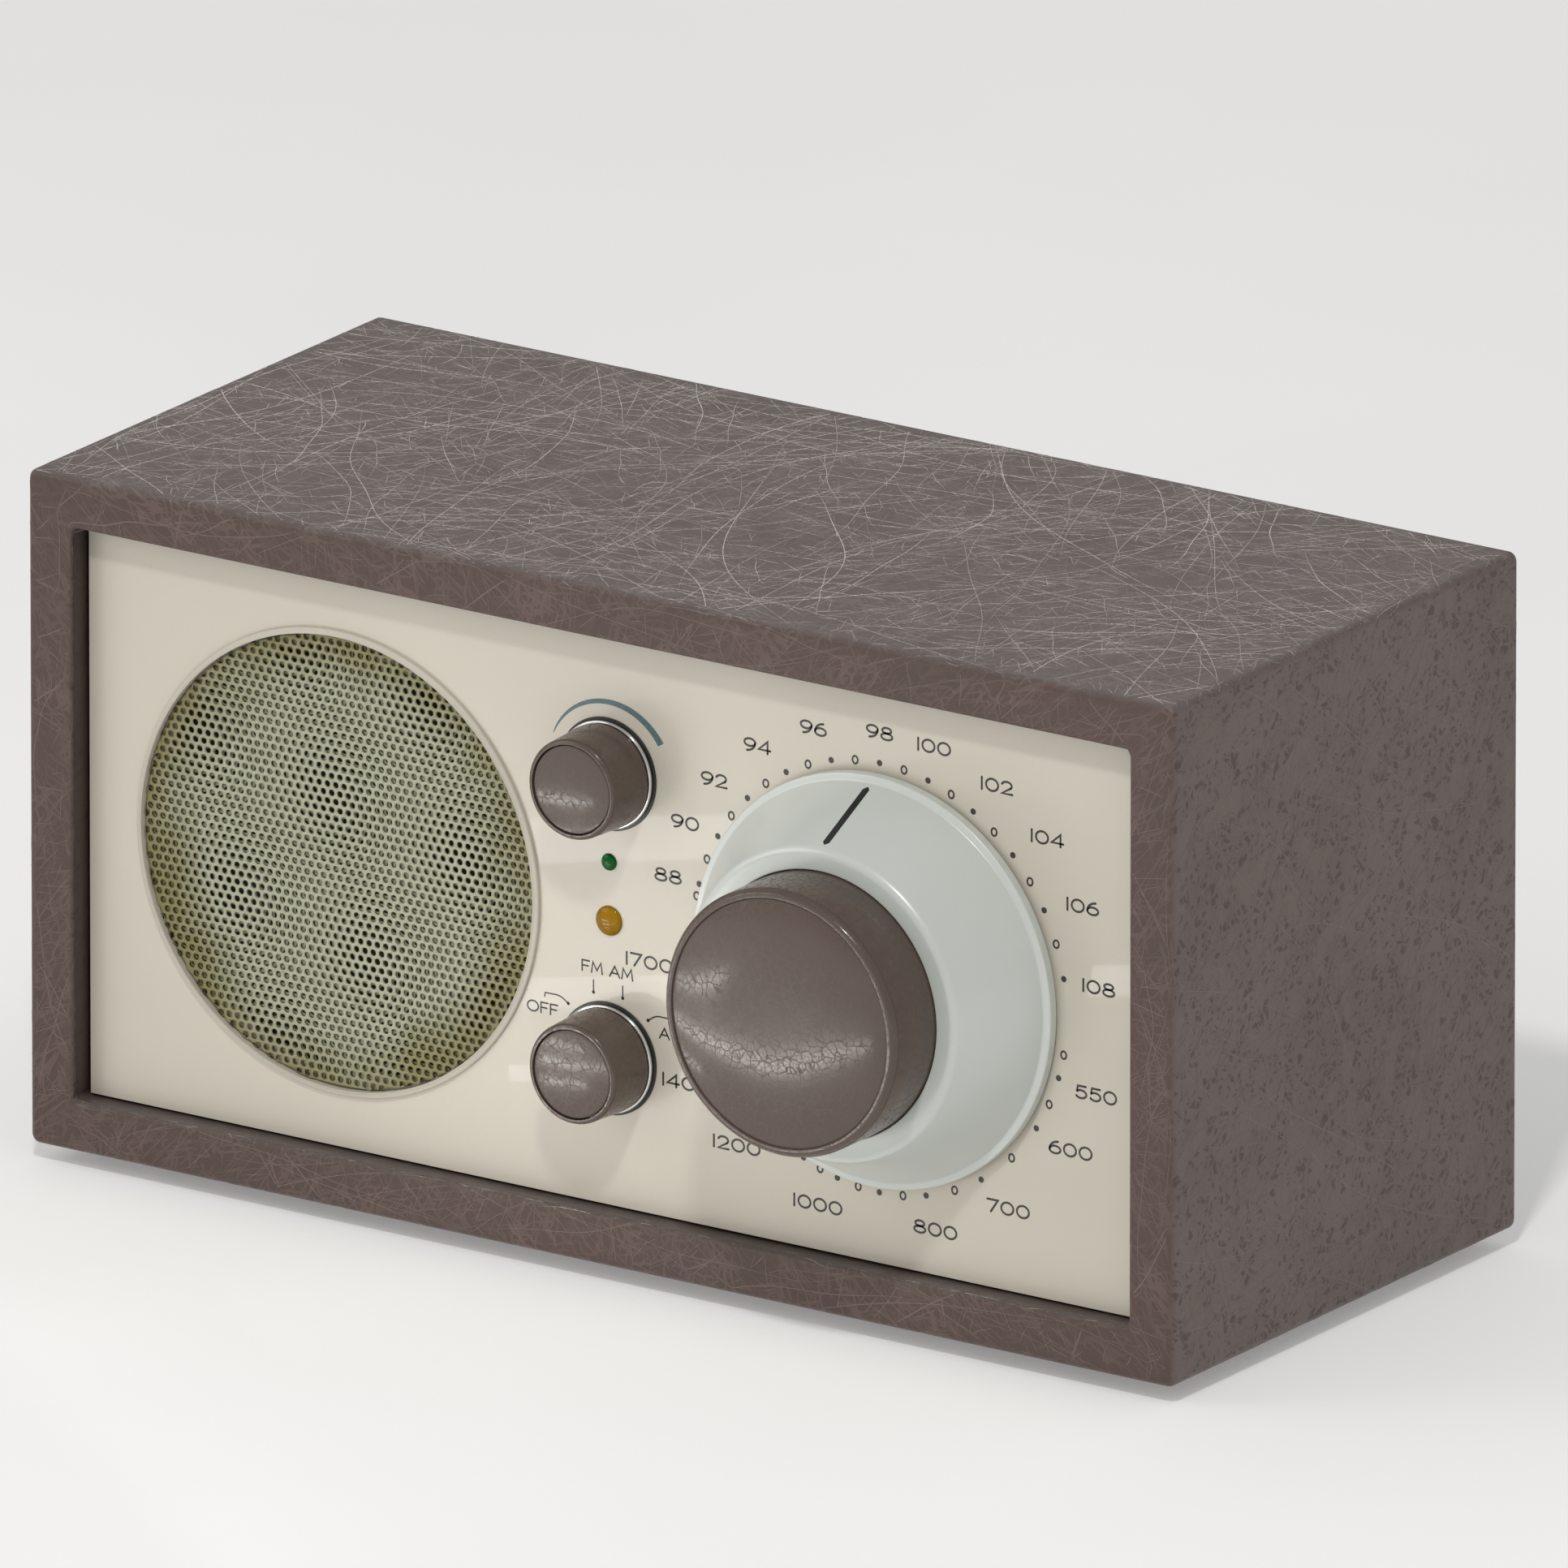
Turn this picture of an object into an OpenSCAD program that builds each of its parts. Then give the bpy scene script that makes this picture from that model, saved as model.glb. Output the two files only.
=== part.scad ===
// Table radio: a covered wooden cabinet with a loudspeaker on the left,
// two small knobs and two lamps in the middle, and a large geared tuning
// dial on the right.
// X runs to the right seen from the front, Y to the back and Z up.
// The origin is on the table, under the centre of the whole radio.

/* [Cabinet] */
// Width over the covering
cabinet_w = 218; // [212:1:270]
// Height over the covering, without the feet
cabinet_h = 112; // [108:1:140]
// Depth over the covering, without the knobs
cabinet_d = 97.2; // [94:0.1:130]
// Width of the covered rim round the front and the back
rim_w = 8.4; // [7:0.1:11]
// Thickness of the covering
cover_t = 0.8; // [0.5:0.1:1.2]
// Radius of the long outer edges
edge_r = 1.4; // [1:0.1:3]
// Width of the cleats that the panels seat on
cleat_w = 5; // [4:0.5:7]
// Depth of the cleats that the panels seat on
cleat_d = 8; // [5:0.5:10]
// Height of the feet
foot_h = 3; // [2:0.5:6]
// Radius of a foot where it meets the cabinet
foot_r = 8; // [6:0.5:10]
// Distance from the cabinet's edges to a foot's centre
foot_inset = 20; // [14:0.5:30]

/* [Panels] */
// How far the front panel sits behind the front rim
panel_recess = 4.5; // [3:0.1:7]
// Thickness of the front panel
panel_t = 3; // [2.5:0.1:4]
// How far the back panel sits inside the back rim
back_recess = 4.5; // [4.5:0.1:8]
// Thickness of the back panel
back_t = 3; // [2.5:0.1:4]
// Open seam round the two panels
panel_gap = 0.35; // [0.1:0.05:0.6]

/* [Loudspeaker] */
// Distance from the cabinet's left side to the loudspeaker's axis
speaker_inset = 56.6; // [50:0.1:60]
// Radius of the perforated grille
grille_r = 37.2; // [34:0.1:38]
// Width of the trim ring round the grille
grille_ring_w = 1.3; // [1:0.1:2]
// How far the trim ring stands out from the panel
grille_ring_out = 1; // [0.5:0.1:2]
// Thickness of the grille sheet
grille_t = 0.8; // [0.5:0.1:1]
// Outer radius of the loudspeaker's cone
cone_r = 28; // [24:0.5:29]
// Travel of the cone each way
cone_travel = 1.2; // [0.5:0.1:1.5]
// Radius of the voice coil
coil_r = 10.1; // [8:0.1:11]
// Inner radius of the bass port
port_r = 10; // [8:0.5:12]
// Length of the bass port
port_l = 55; // [30:1:70]

/* [Small knobs] */
// Height of the volume knob's axis above the cabinet's middle
volume_up = 24; // [22:0.5:28]
// Depth of the selector knob's axis below the cabinet's middle
selector_down = 23; // [20:0.5:28]
// Distance of both small knobs to the left of the cabinet's middle
small_knob_left = 1.05; // [0:0.05:2]
// Radius of a small knob at its base
small_knob_r = 8.6; // [7.5:0.1:9]
// Radius of a small knob at its front
small_knob_front_r = 8.2; // [7.2:0.1:8.5]
// Distance from the panel to a small knob's front
small_knob_out = 10.6; // [9.5:0.1:14]
// Radius of the bright ring under a small knob
knob_ring_r = 9; // [8.6:0.1:9.5]
// Radius of every control shaft
shaft_r = 3; // [2.5:0.1:3.2]

/* [Lamps] */
// Height of the power lamp above the cabinet's middle
power_lamp_up = 9.45; // [8:0.05:12]
// Radius of the power lamp
power_lamp_r = 1.4; // [1:0.05:2]
// Height of the tuning lamp above the cabinet's middle
tuning_lamp_up = -0.25; // [-2:0.05:2]
// Radius of the tuning lamp
tuning_lamp_r = 2.45; // [1.5:0.05:3]

/* [Tuning] */
// Distance from the cabinet's right side to the dial's axis
dial_inset = 58.5; // [52:0.1:60]
// Outer radius of the dial's flange
dial_r = 33.9; // [31:0.1:35]
// Radius of the dial's front ridge
dial_ridge_r = 25.2; // [23.5:0.1:26]
// Distance from the panel to the dial's front ridge
dial_out = 16.7; // [14:0.1:18]
// Radius of the tuning knob
tuning_knob_r = 21.9; // [20:0.1:22]
// Distance from the panel to the tuning knob's face
tuning_knob_out = 29.1; // [26:0.1:34]
// Radius of the circle that the drive's balls roll round in
race_r = 12; // [11:0.1:14]
// Length of the tuning capacitor between its end plates
capacitor_l = 18; // [14:1:24]

/* [Clearances] */
// Radial clearance of a shaft that turns in a hole
running_fit = 0.05; // [0.02:0.01:0.1]
// Clearance of a drive ball to its tracks
ball_fit = 0.03; // [0.02:0.01:0.05]
// Space between pieces that move past each other
free_gap = 0.4; // [0.3:0.05:0.6]

/* [Hidden] */
$fn = 96;

// Amount by which a cutting shape runs past what it cuts
over = 1;

// Planes along Y
knob_stand_out = tuning_knob_out - panel_recess;
overall_d = cabinet_d + knob_stand_out;
front_y = knob_stand_out - overall_d / 2;
back_y = overall_d / 2;
panel_y = front_y + panel_recess;
panel_back_y = panel_y + panel_t;
back_face_y = back_y - back_recess;
back_inner_y = back_face_y - back_t;

// Heights along Z
base_z = foot_h;
mid_z = base_z + cabinet_h / 2;
open_w = cabinet_w - 2 * rim_w;
open_h = cabinet_h - 2 * rim_w;
wood_w = cabinet_w - 2 * cover_t;
wood_h = cabinet_h - 2 * cover_t;
board_t = rim_w - 2 * cover_t;
inside_w = wood_w - 2 * board_t;
inside_h = wood_h - 2 * board_t;
floor_z = mid_z - inside_h / 2;
ceiling_z = mid_z + inside_h / 2;

// Control axes, as [x, z]
speaker_at = [speaker_inset - cabinet_w / 2, mid_z - 0.1];
volume_at = [-small_knob_left, mid_z + volume_up];
selector_at = [-small_knob_left, mid_z - selector_down];
power_lamp_at = [-0.8, mid_z + power_lamp_up];
tuning_lamp_at = [-0.8, mid_z + tuning_lamp_up];
dial_at = [cabinet_w / 2 - dial_inset, mid_z - 0.2];

// Loudspeaker, with distances measured forward from the panel's face
grille_seat = 1;
ring_outer_r = grille_r + grille_ring_w;
speaker_hole_r = grille_r - 2;
backing_t = 0.4;
gasket_t = 1;
gasket_inner_r = cone_r + 5;
flange_front = -panel_t - backing_t - gasket_t;
flange_t = 1.6;
flange_back = flange_front - flange_t;
cone_front = flange_front - 1.2;
cone_depth = 12.2;
cone_t = 0.8;
coil_t = 0.6;
coil_front = cone_front - cone_depth;
coil_l = 12;
spider_front = coil_front - cone_travel - 1.6;
spider_t = 0.6;
basket_wall = 1.6;
spider_r = coil_r + 13.4;
pole_plate_front = spider_front - 2.8;
pole_plate_t = 3.5;
magnet_front = pole_plate_front - pole_plate_t;
magnet_l = 8;
magnet_r = spider_r - 1;
back_plate_t = 3;
speaker_screw_circle = ring_outer_r - 2.1;
speaker_screw_r = 1.25;
speaker_screw_head_r = 1.7;
speaker_screw_head_t = 1.4;

// Bass port
port_wall = 2;
port_flange_r = port_r + 4;
port_flange_t = 1;

// Small controls
bush_r = shaft_r + 0.6;
bush_front = 3.4;
nut_r = 6;
nut_t = 2;
knob_back = 1.2;
knob_ring_back = 0.4;
knob_socket_r = nut_r + free_gap;
knob_socket_front = bush_front + free_gap;
knob_cap_r = small_knob_front_r - 0.8;
knob_cap_t = 1.8;
knob_cap_dome = 0.5;
knob_cap_seam = 0.15;
small_knob_rim = small_knob_out - 0.3;
shaft_front = small_knob_out - knob_cap_t - 0.5;
shaft_flat = 0.7;
pot_r = 8.2;
pot_l = 8;
switch_r = 12;
switch_l = 12;

// Tuning drive: a ball drive that turns the dial five times slower
drive_ratio = 5;
sun_r = race_r / (drive_ratio - 1);
ball_r = (race_r - sun_r) / 2 - ball_fit;
ball_circle_r = (race_r + sun_r) / 2;
ball_count = 3;
ball_plane = -panel_t - ball_r - ball_fit - free_gap - 1;
cage_t = 5;
cage_r = race_r - 0.6;
carrier_r = 5.5;
boss_r = 5;
boss_back = ball_plane - ball_r - 0.7;
housing_back = boss_back - free_gap;
housing_wall = 2.5;
housing_end_t = 2;
housing_flange_r = race_r + housing_wall + 4;
housing_flange_t = 1.5;
spindle_back = ball_plane - cage_t / 2 + 0.6;
rotor_back_gap = 0.3;

// Dial and tuning knob, as distances from the panel's face
dial_back = 0.6;
dial_edge = 2.3;
dial_wall = 1.6;
dial_foot_r = dial_r - 1.2;
dial_bowl_r = tuning_knob_r + 0.4;
dial_floor = dial_out - 3.5;
dial_hub_r = 9;
dial_hub_back = 5;
tuning_knob_back = dial_floor + 0.8;
tuning_knob_hub_r = 8;
tuning_knob_bevel = 1;
tuning_knob_dome = 0.8;
tuning_knob_wall = 2.9;
spindle_front = tuning_knob_out - 3.1;
pointer_w = 1;
pointer_t = 0.5;
pointer_proud = 0.05;
pointer_r0 = dial_ridge_r + 0.9;
pointer_r1 = dial_r - 1.6;

// Tuning capacitor, behind the drive
capacitor_gap = 2;
capacitor_front = housing_back - housing_end_t - capacitor_gap;
capacitor_plate_t = 1.5;
capacitor_side = 32;
capacitor_back = capacitor_front - 2 * capacitor_plate_t - capacitor_l;
vane_t = 0.6;
vane_pitch = 2.4;
vane_count = floor((capacitor_l - 2 * vane_pitch) / vane_pitch);
rotor_vane_r = 12;
stator_rod_r = 1;

// Feet and their screws
foot_bottom_r = foot_r - 1;
foot_screw_r = 1.5;
foot_screw_l = 7;
foot_screw_head_r = 3;
foot_screw_head_t = 1.2;
foot_at = [for (x = [-1, 1], y = [0, 1])
    [x * (cabinet_w / 2 - foot_inset), y == 0 ? front_y + foot_inset : back_y - foot_inset]];

// Back panel fittings, as [x, z]
back_screw_r = 1.3;
back_screw_l = 9;
back_screw_head_r = 2.6;
back_screw_head_t = 1.3;
back_screw_edge = cleat_w / 2 + 0.4;
back_screw_at = [for (x = [-1, 0, 1], z = [-1, 1])
    [x * (open_w / 2 - back_screw_edge), mid_z + z * (open_h / 2 - back_screw_edge)]];
inlet_at = [open_w / 2 - 26, mid_z - open_h / 2 + 20];
inlet_w = 16;
inlet_h = 10;
inlet_depth = 13;
inlet_wall = 1.5;
inlet_flange = 3;
inlet_flange_t = 1.5;
inlet_pin_r = 1.15;
inlet_pin_x = 4.3;
inlet_pin_l = 9;
dc_at = [inlet_at[0] - 28, inlet_at[1]];
dc_r = 5.5;
dc_hole_r = 3.2;
dc_pin_r = 1;
dc_depth = 11;
jack_r = 4;
jack_flange_r = 5;
jack_hole_r = 1.8;
jack_depth = 13;
jack_pitch = 15;
jack_at = [for (i = [0 : 2]) [dc_at[0] - 24 - i * jack_pitch, inlet_at[1]]];
jack_flange_t = 1.5;
antenna_at = [-open_w / 2 + 24, mid_z + 20];
antenna_r = 4.7;
antenna_out = 4;
antenna_depth = 10;
slot_at = [antenna_at[0] + 26, antenna_at[1]];
switch_travel = 4;
slider_w = 4;
slider_h = 3.6;
slider_out = 1.8;
slider_foot_w = slider_w + switch_travel + 3;
slider_foot_h = slider_h + 3;
slider_foot_t = 1.2;
button_at = [slot_at[0] + 22, antenna_at[1]];
button_r = 2.6;
button_out = 1.8;
button_travel = 1;
button_foot_r = button_r + 1.2;
button_foot_t = 1;
rear_board_t = 1.6;
rear_board_gap = jack_depth + 0.6;
rear_board_y = back_inner_y - rear_board_gap;
port_at = [speaker_at[0] - 8, rear_board_y - rear_board_t - port_r - port_wall - 2];

// Inner electronics
board_post_h = 6;
board_post_r = 3;
board_t_pcb = 1.6;
board_w = 106;
board_d = 30;
board_at = [-12, panel_back_y + 12];
filter_r = 6;
filter_h = 22;
heat_sink = [24, 10, 18];
core = [42, 16, 38];
winding = [26, 26, 26];
transformer_at = [open_w / 2 - 34,
    back_face_y - inlet_depth - inlet_wall - winding[1] / 2 - 0.6];
rod_r = 4;
rod_l = 96;
coil_wind_r = 6;
coil_wind_l = 26;
rod_z = ceiling_z - 12;
rod_y = back_inner_y - cleat_d - 12;
rod_clip_t = 4;
rod_clip_w = 12;

// ---- helpers -------------------------------------------------------------

// Points of an arc round [cx, cy] from angle a0 to angle a1, in n steps
function arc(cx, cy, r, a0, a1, n) =
    [for (i = [0 : n]) [cx + r * cos(a0 + (a1 - a0) * i / n), cy + r * sin(a0 + (a1 - a0) * i / n)]];

// Outline of a centred rectangle with round corners
function rounded_outline(w, h, r, n = 6) = concat(
    arc(w / 2 - r, h / 2 - r, r, 0, 90, n),
    arc(r - w / 2, h / 2 - r, r, 90, 180, n),
    arc(r - w / 2, r - h / 2, r, 180, 270, n),
    arc(w / 2 - r, r - h / 2, r, 270, 360, n));

// Extrudes a front outline between two planes along Y, centred on the cabinet
module slab(y0, y1) {
    translate([0, y1, mid_z])
        rotate([90, 0, 0])
            linear_extrude(y1 - y0)
                children();
}

// Puts a shape on a control axis, its own Z pointing out of the front panel
module on_axis(at, out = 0) {
    translate([at[0], panel_y - out, at[1]])
        rotate([90, 0, 0])
            children();
}

// A disc on a control axis between two distances from the panel
module disc(at, r, d0, d1) {
    on_axis(at, d0)
        cylinder(r = r, h = d1 - d0);
}

// A turned shape on a control axis, from a profile of [radius, distance]
module turned(at, profile) {
    on_axis(at)
        rotate_extrude()
            polygon(profile);
}

// A round shaft's section with one flat for a push-on knob
module flatted(r) {
    difference() {
        circle(r);
        translate([r - shaft_flat, -r])
            square([2 * r, 2 * r]);
    }
}

// A cylinder along Y from the back panel's outer face, between two distances outward
module from_back(at, r, d0, d1) {
    translate([at[0], back_face_y + d0, at[1]])
        rotate([-90, 0, 0])
            cylinder(r = r, h = d1 - d0);
}

// A box along Y from the back panel's outer face, between two distances outward
module back_box(at, w, h, d0, d1) {
    translate([at[0] - w / 2, back_face_y + d0, at[1] - h / 2])
        cube([w, d1 - d0, h]);
}

// ---- cabinet -------------------------------------------------------------

module wide_board(z0) {
    translate([-wood_w / 2, front_y + cover_t, z0])
        cube([wood_w, cabinet_d - 2 * cover_t, board_t]);
}

module side_board(x0) {
    translate([x0, front_y + cover_t, floor_z])
        cube([board_t, cabinet_d - 2 * cover_t, inside_h]);
}

// Round holes up through the bottom: the bass port and the foot screws
module bottom_holes() {
    translate([port_at[0], port_at[1], -over])
        cylinder(r = port_r + port_wall, h = foot_h + rim_w + 2 * over);
    for (p = foot_at)
        translate([p[0], p[1], 0])
            cylinder(r = foot_screw_r, h = foot_h - foot_screw_head_t + foot_screw_l);
}

module top_board() {
    color("burlywood")
        wide_board(ceiling_z);
}

module bottom_board() {
    color("burlywood")
        difference() {
            wide_board(floor_z - board_t);
            bottom_holes();
        }
}

module left_board() {
    color("burlywood")
        side_board(-wood_w / 2);
}

module right_board() {
    color("burlywood")
        side_board(wood_w / 2 - board_t);
}

module leather_cover() {
    color([0.45, 0.4, 0.37])
        difference() {
            slab(front_y, back_y)
                polygon(rounded_outline(cabinet_w, cabinet_h, edge_r));
            slab(front_y - over, back_y + over)
                square([open_w, open_h], center = true);
            slab(front_y + cover_t, back_y - cover_t)
                difference() {
                    square([wood_w, wood_h], center = true);
                    square([inside_w, inside_h], center = true);
                }
            slab(panel_back_y, back_inner_y)
                square([inside_w, inside_h], center = true);
            bottom_holes();
        }
}

module cleat(y0) {
    slab(y0, y0 + cleat_d)
        difference() {
            square([inside_w, inside_h], center = true);
            square([inside_w - 2 * cleat_w, inside_h - 2 * cleat_w], center = true);
        }
}

module front_cleat() {
    color("peru")
        cleat(panel_back_y);
}

module rear_cleat() {
    color("peru")
        difference() {
            cleat(back_inner_y - cleat_d);
            back_screw_holes();
        }
}

module feet() {
    color([0.08, 0.08, 0.08])
        for (p = foot_at)
            translate([p[0], p[1], 0])
                difference() {
                    cylinder(r1 = foot_bottom_r, r2 = foot_r, h = foot_h);
                    translate([0, 0, -over])
                        cylinder(r = foot_screw_r, h = foot_h + 2 * over);
                    translate([0, 0, -over])
                        cylinder(r = foot_screw_head_r, h = over + foot_h - foot_screw_head_t);
                }
}

module foot_screws() {
    color("silver")
        for (p = foot_at)
            translate([p[0], p[1], foot_h - foot_screw_head_t]) {
                translate([0, 0, -foot_screw_head_t])
                    cylinder(r = foot_screw_head_r - 0.2, h = foot_screw_head_t);
                cylinder(r = foot_screw_r, h = foot_screw_l);
            }
}

module bass_port() {
    color([0.1, 0.1, 0.1])
        translate([port_at[0], port_at[1], base_z - port_flange_t])
            difference() {
                union() {
                    cylinder(r = port_flange_r, h = port_flange_t);
                    cylinder(r = port_r + port_wall, h = port_l);
                }
                translate([0, 0, -over])
                    cylinder(r = port_r, h = port_l + 2 * over);
            }
}

// ---- front panel ---------------------------------------------------------

module front_panel() {
    color([0.8, 0.78, 0.72])
        difference() {
            slab(panel_y, panel_back_y)
                square([open_w - 2 * panel_gap, open_h - 2 * panel_gap], center = true);
            disc(speaker_at, speaker_hole_r, -panel_t - over, over);
            disc(speaker_at, ring_outer_r, -grille_seat, over);
            speaker_screw_holes();
            for (at = [volume_at, selector_at])
                disc(at, bush_r, -panel_t - over, over);
            disc(dial_at, carrier_r + running_fit, -panel_t - over, over);
            disc(power_lamp_at, power_lamp_r, -panel_t - over, over);
            disc(tuning_lamp_at, tuning_lamp_r, -panel_t - over, over);
        }
}

module lamp(at, r, out) {
    intersection() {
        disc(at, r, -panel_t - 2, out);
        on_axis(at, out - r * 1.6)
            sphere(r * 1.6);
    }
    disc(at, r, -panel_t - 2, out - r * 1.2);
}

module power_lamp() {
    color([0.05, 0.3, 0.15])
        lamp(power_lamp_at, power_lamp_r, 0.7);
}

module tuning_lamp() {
    color([0.7, 0.5, 0.05])
        lamp(tuning_lamp_at, tuning_lamp_r, 1);
}

// ---- loudspeaker ---------------------------------------------------------

module speaker_screw_holes() {
    for (a = [45 : 90 : 315])
        on_axis(speaker_at, flange_back - over)
            rotate(a)
                translate([speaker_screw_circle, 0, 0])
                    cylinder(r = speaker_screw_r, h = over - flange_back - grille_seat - 0.6);
}

module grille() {
    color([0.72, 0.72, 0.6])
        disc(speaker_at, grille_r, -grille_seat, grille_t - grille_seat);
}

module grille_ring() {
    color([0.8, 0.78, 0.7])
        turned(speaker_at, [
            [grille_r, -grille_seat],
            [ring_outer_r, -grille_seat],
            [ring_outer_r, grille_ring_out * 0.6],
            [ring_outer_r - grille_ring_out * 0.3, grille_ring_out],
            [grille_r + grille_ring_out * 0.3, grille_ring_out],
            [grille_r, grille_ring_out * 0.7]]);
}

module grille_backing() {
    color([0.15, 0.15, 0.14])
        difference() {
            disc(speaker_at, ring_outer_r, -panel_t - backing_t, -panel_t);
            speaker_screw_holes();
        }
}

module speaker_gasket() {
    color([0.2, 0.2, 0.2])
        difference() {
            disc(speaker_at, ring_outer_r, flange_front, flange_front + gasket_t);
            disc(speaker_at, gasket_inner_r, flange_front - over, flange_front + gasket_t + over);
            speaker_screw_holes();
        }
}

module speaker_basket() {
    shoulder_r = gasket_inner_r + basket_wall;
    waist_r = spider_r + basket_wall;
    window_w = 2 * spider_r * 0.42;
    color([0.3, 0.3, 0.32])
        difference() {
            turned(speaker_at, [
                [gasket_inner_r, flange_front],
                [ring_outer_r, flange_front],
                [ring_outer_r, flange_back],
                [shoulder_r, flange_back],
                [waist_r, spider_front + 1.5],
                [waist_r, magnet_front],
                [coil_r + free_gap, magnet_front],
                [coil_r + free_gap, pole_plate_front],
                [spider_r, pole_plate_front],
                [spider_r, spider_front + 1.5],
                [gasket_inner_r, flange_back]]);
            for (a = [0 : 90 : 270])
                on_axis(speaker_at, spider_front + 3)
                    rotate(a)
                        translate([0, -window_w / 2, 0])
                            cube([ring_outer_r, window_w, flange_back - spider_front - 5]);
            speaker_screw_holes();
        }
}

module speaker_magnet() {
    color([0.18, 0.18, 0.18])
        difference() {
            disc(speaker_at, magnet_r, magnet_front - magnet_l, magnet_front);
            disc(speaker_at, coil_r + 2, magnet_front - magnet_l - over, magnet_front + over);
        }
}

module speaker_pole() {
    back = magnet_front - magnet_l;
    color("silver") {
        disc(speaker_at, magnet_r - 2, back - back_plate_t, back);
        disc(speaker_at, coil_r - coil_t - free_gap, back, pole_plate_front);
    }
}

module speaker_surround() {
    mid_r = (cone_r + free_gap + gasket_inner_r) / 2;
    roll_r = (gasket_inner_r - cone_r - free_gap) / 2;
    roll_t = 0.5;
    color([0.12, 0.12, 0.12])
        turned(speaker_at, concat(
            arc(mid_r, flange_back, roll_r, 0, 180, 10),
            arc(mid_r, flange_back, roll_r - roll_t, 180, 0, 10)));
}

module speaker_spider() {
    color([0.75, 0.6, 0.35])
        difference() {
            disc(speaker_at, spider_r, spider_front - spider_t, spider_front);
            disc(speaker_at, coil_r + free_gap, spider_front - spider_t - over, spider_front + over);
        }
}

module speaker_cone() {
    color([0.22, 0.22, 0.22])
        turned(speaker_at, [
            [cone_r, cone_front],
            [cone_r, cone_front - cone_t],
            [coil_r, coil_front],
            [coil_r - coil_t, coil_front],
            [coil_r - coil_t, coil_front + cone_t]]);
}

module dust_cap() {
    inner_r = coil_r - coil_t;
    dome_r = inner_r * 1.4;
    dome_centre = coil_front + 0.6 - sqrt(dome_r * dome_r - inner_r * inner_r);
    color([0.3, 0.3, 0.3])
        intersection() {
            disc(speaker_at, inner_r, coil_front, coil_front + dome_r);
            difference() {
                on_axis(speaker_at, dome_centre)
                    sphere(dome_r);
                on_axis(speaker_at, dome_centre)
                    sphere(dome_r - 0.6);
            }
        }
}

module voice_coil() {
    color([0.7, 0.35, 0.15])
        difference() {
            disc(speaker_at, coil_r, coil_front - coil_l, coil_front);
            disc(speaker_at, coil_r - coil_t, coil_front - coil_l - over, coil_front + over);
        }
}

module speaker_screws() {
    color("silver")
        for (a = [45 : 90 : 315])
            on_axis(speaker_at, flange_back)
                rotate(a)
                    translate([speaker_screw_circle, 0, 0]) {
                        translate([0, 0, -speaker_screw_head_t])
                            cylinder(r = speaker_screw_head_r, h = speaker_screw_head_t);
                        cylinder(r = speaker_screw_r, h = -flange_back - grille_seat - 0.6);
                    }
}

// ---- small controls ------------------------------------------------------

// A control's round body behind the panel with its bush through the panel
module control_body(at, r, l) {
    difference() {
        union() {
            disc(at, r, -panel_t - l, -panel_t);
            disc(at, bush_r, -panel_t, bush_front);
        }
        disc(at, shaft_r + running_fit, 1 - panel_t - l, bush_front + over);
    }
}

module control_shaft(at, l) {
    on_axis(at, 1.3 - panel_t - l)
        cylinder(r = shaft_r, h = panel_t + l - 1.3 + knob_socket_front);
    on_axis(at, knob_socket_front)
        linear_extrude(shaft_front - knob_socket_front)
            flatted(shaft_r);
}

module small_knob(at) {
    cap_seat = small_knob_out - knob_cap_t;
    difference() {
        turned(at, [
            [0, knob_back],
            [small_knob_r, knob_back],
            [small_knob_front_r, small_knob_rim - 0.3],
            [small_knob_front_r - 0.3, small_knob_rim],
            [0, small_knob_rim]]);
        disc(at, knob_socket_r, knob_back - over, knob_socket_front);
        on_axis(at, knob_back)
            linear_extrude(shaft_front - knob_back)
                flatted(shaft_r);
        disc(at, knob_cap_r + knob_cap_seam, cap_seat, small_knob_out + over);
    }
}

module small_knob_cap(at) {
    ball = (knob_cap_r * knob_cap_r + knob_cap_dome * knob_cap_dome) / (2 * knob_cap_dome);
    intersection() {
        disc(at, knob_cap_r, small_knob_out - knob_cap_t, small_knob_out + over);
        on_axis(at, small_knob_out - ball)
            sphere(ball, $fn = 256);
    }
}

module small_knob_ring(at) {
    difference() {
        disc(at, knob_ring_r, knob_ring_back, knob_back);
        disc(at, knob_socket_r, knob_ring_back - over, knob_back + over);
    }
}

module volume_control() {
    color("silver")
        control_body(volume_at, pot_r, pot_l);
}

module volume_shaft() {
    color("gainsboro")
        control_shaft(volume_at, pot_l);
}

module volume_knob() {
    color([0.41, 0.36, 0.33])
        small_knob(volume_at);
}

module volume_knob_cap() {
    color([0.44, 0.39, 0.36])
        small_knob_cap(volume_at);
}

module volume_knob_ring() {
    color("gainsboro")
        small_knob_ring(volume_at);
}

module selector_switch() {
    color("silver")
        control_body(selector_at, switch_r, switch_l);
}

module selector_shaft() {
    color("gainsboro")
        control_shaft(selector_at, switch_l);
}

module selector_knob() {
    color([0.41, 0.36, 0.33])
        small_knob(selector_at);
}

module selector_knob_cap() {
    color([0.44, 0.39, 0.36])
        small_knob_cap(selector_at);
}

module selector_knob_ring() {
    color("gainsboro")
        small_knob_ring(selector_at);
}

module shaft_nuts() {
    color("silver")
        for (at = [volume_at, selector_at])
            difference() {
                on_axis(at)
                    cylinder(r = nut_r, h = nut_t, $fn = 6);
                disc(at, bush_r, -over, nut_t + over);
            }
}

// ---- tuning drive --------------------------------------------------------

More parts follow.
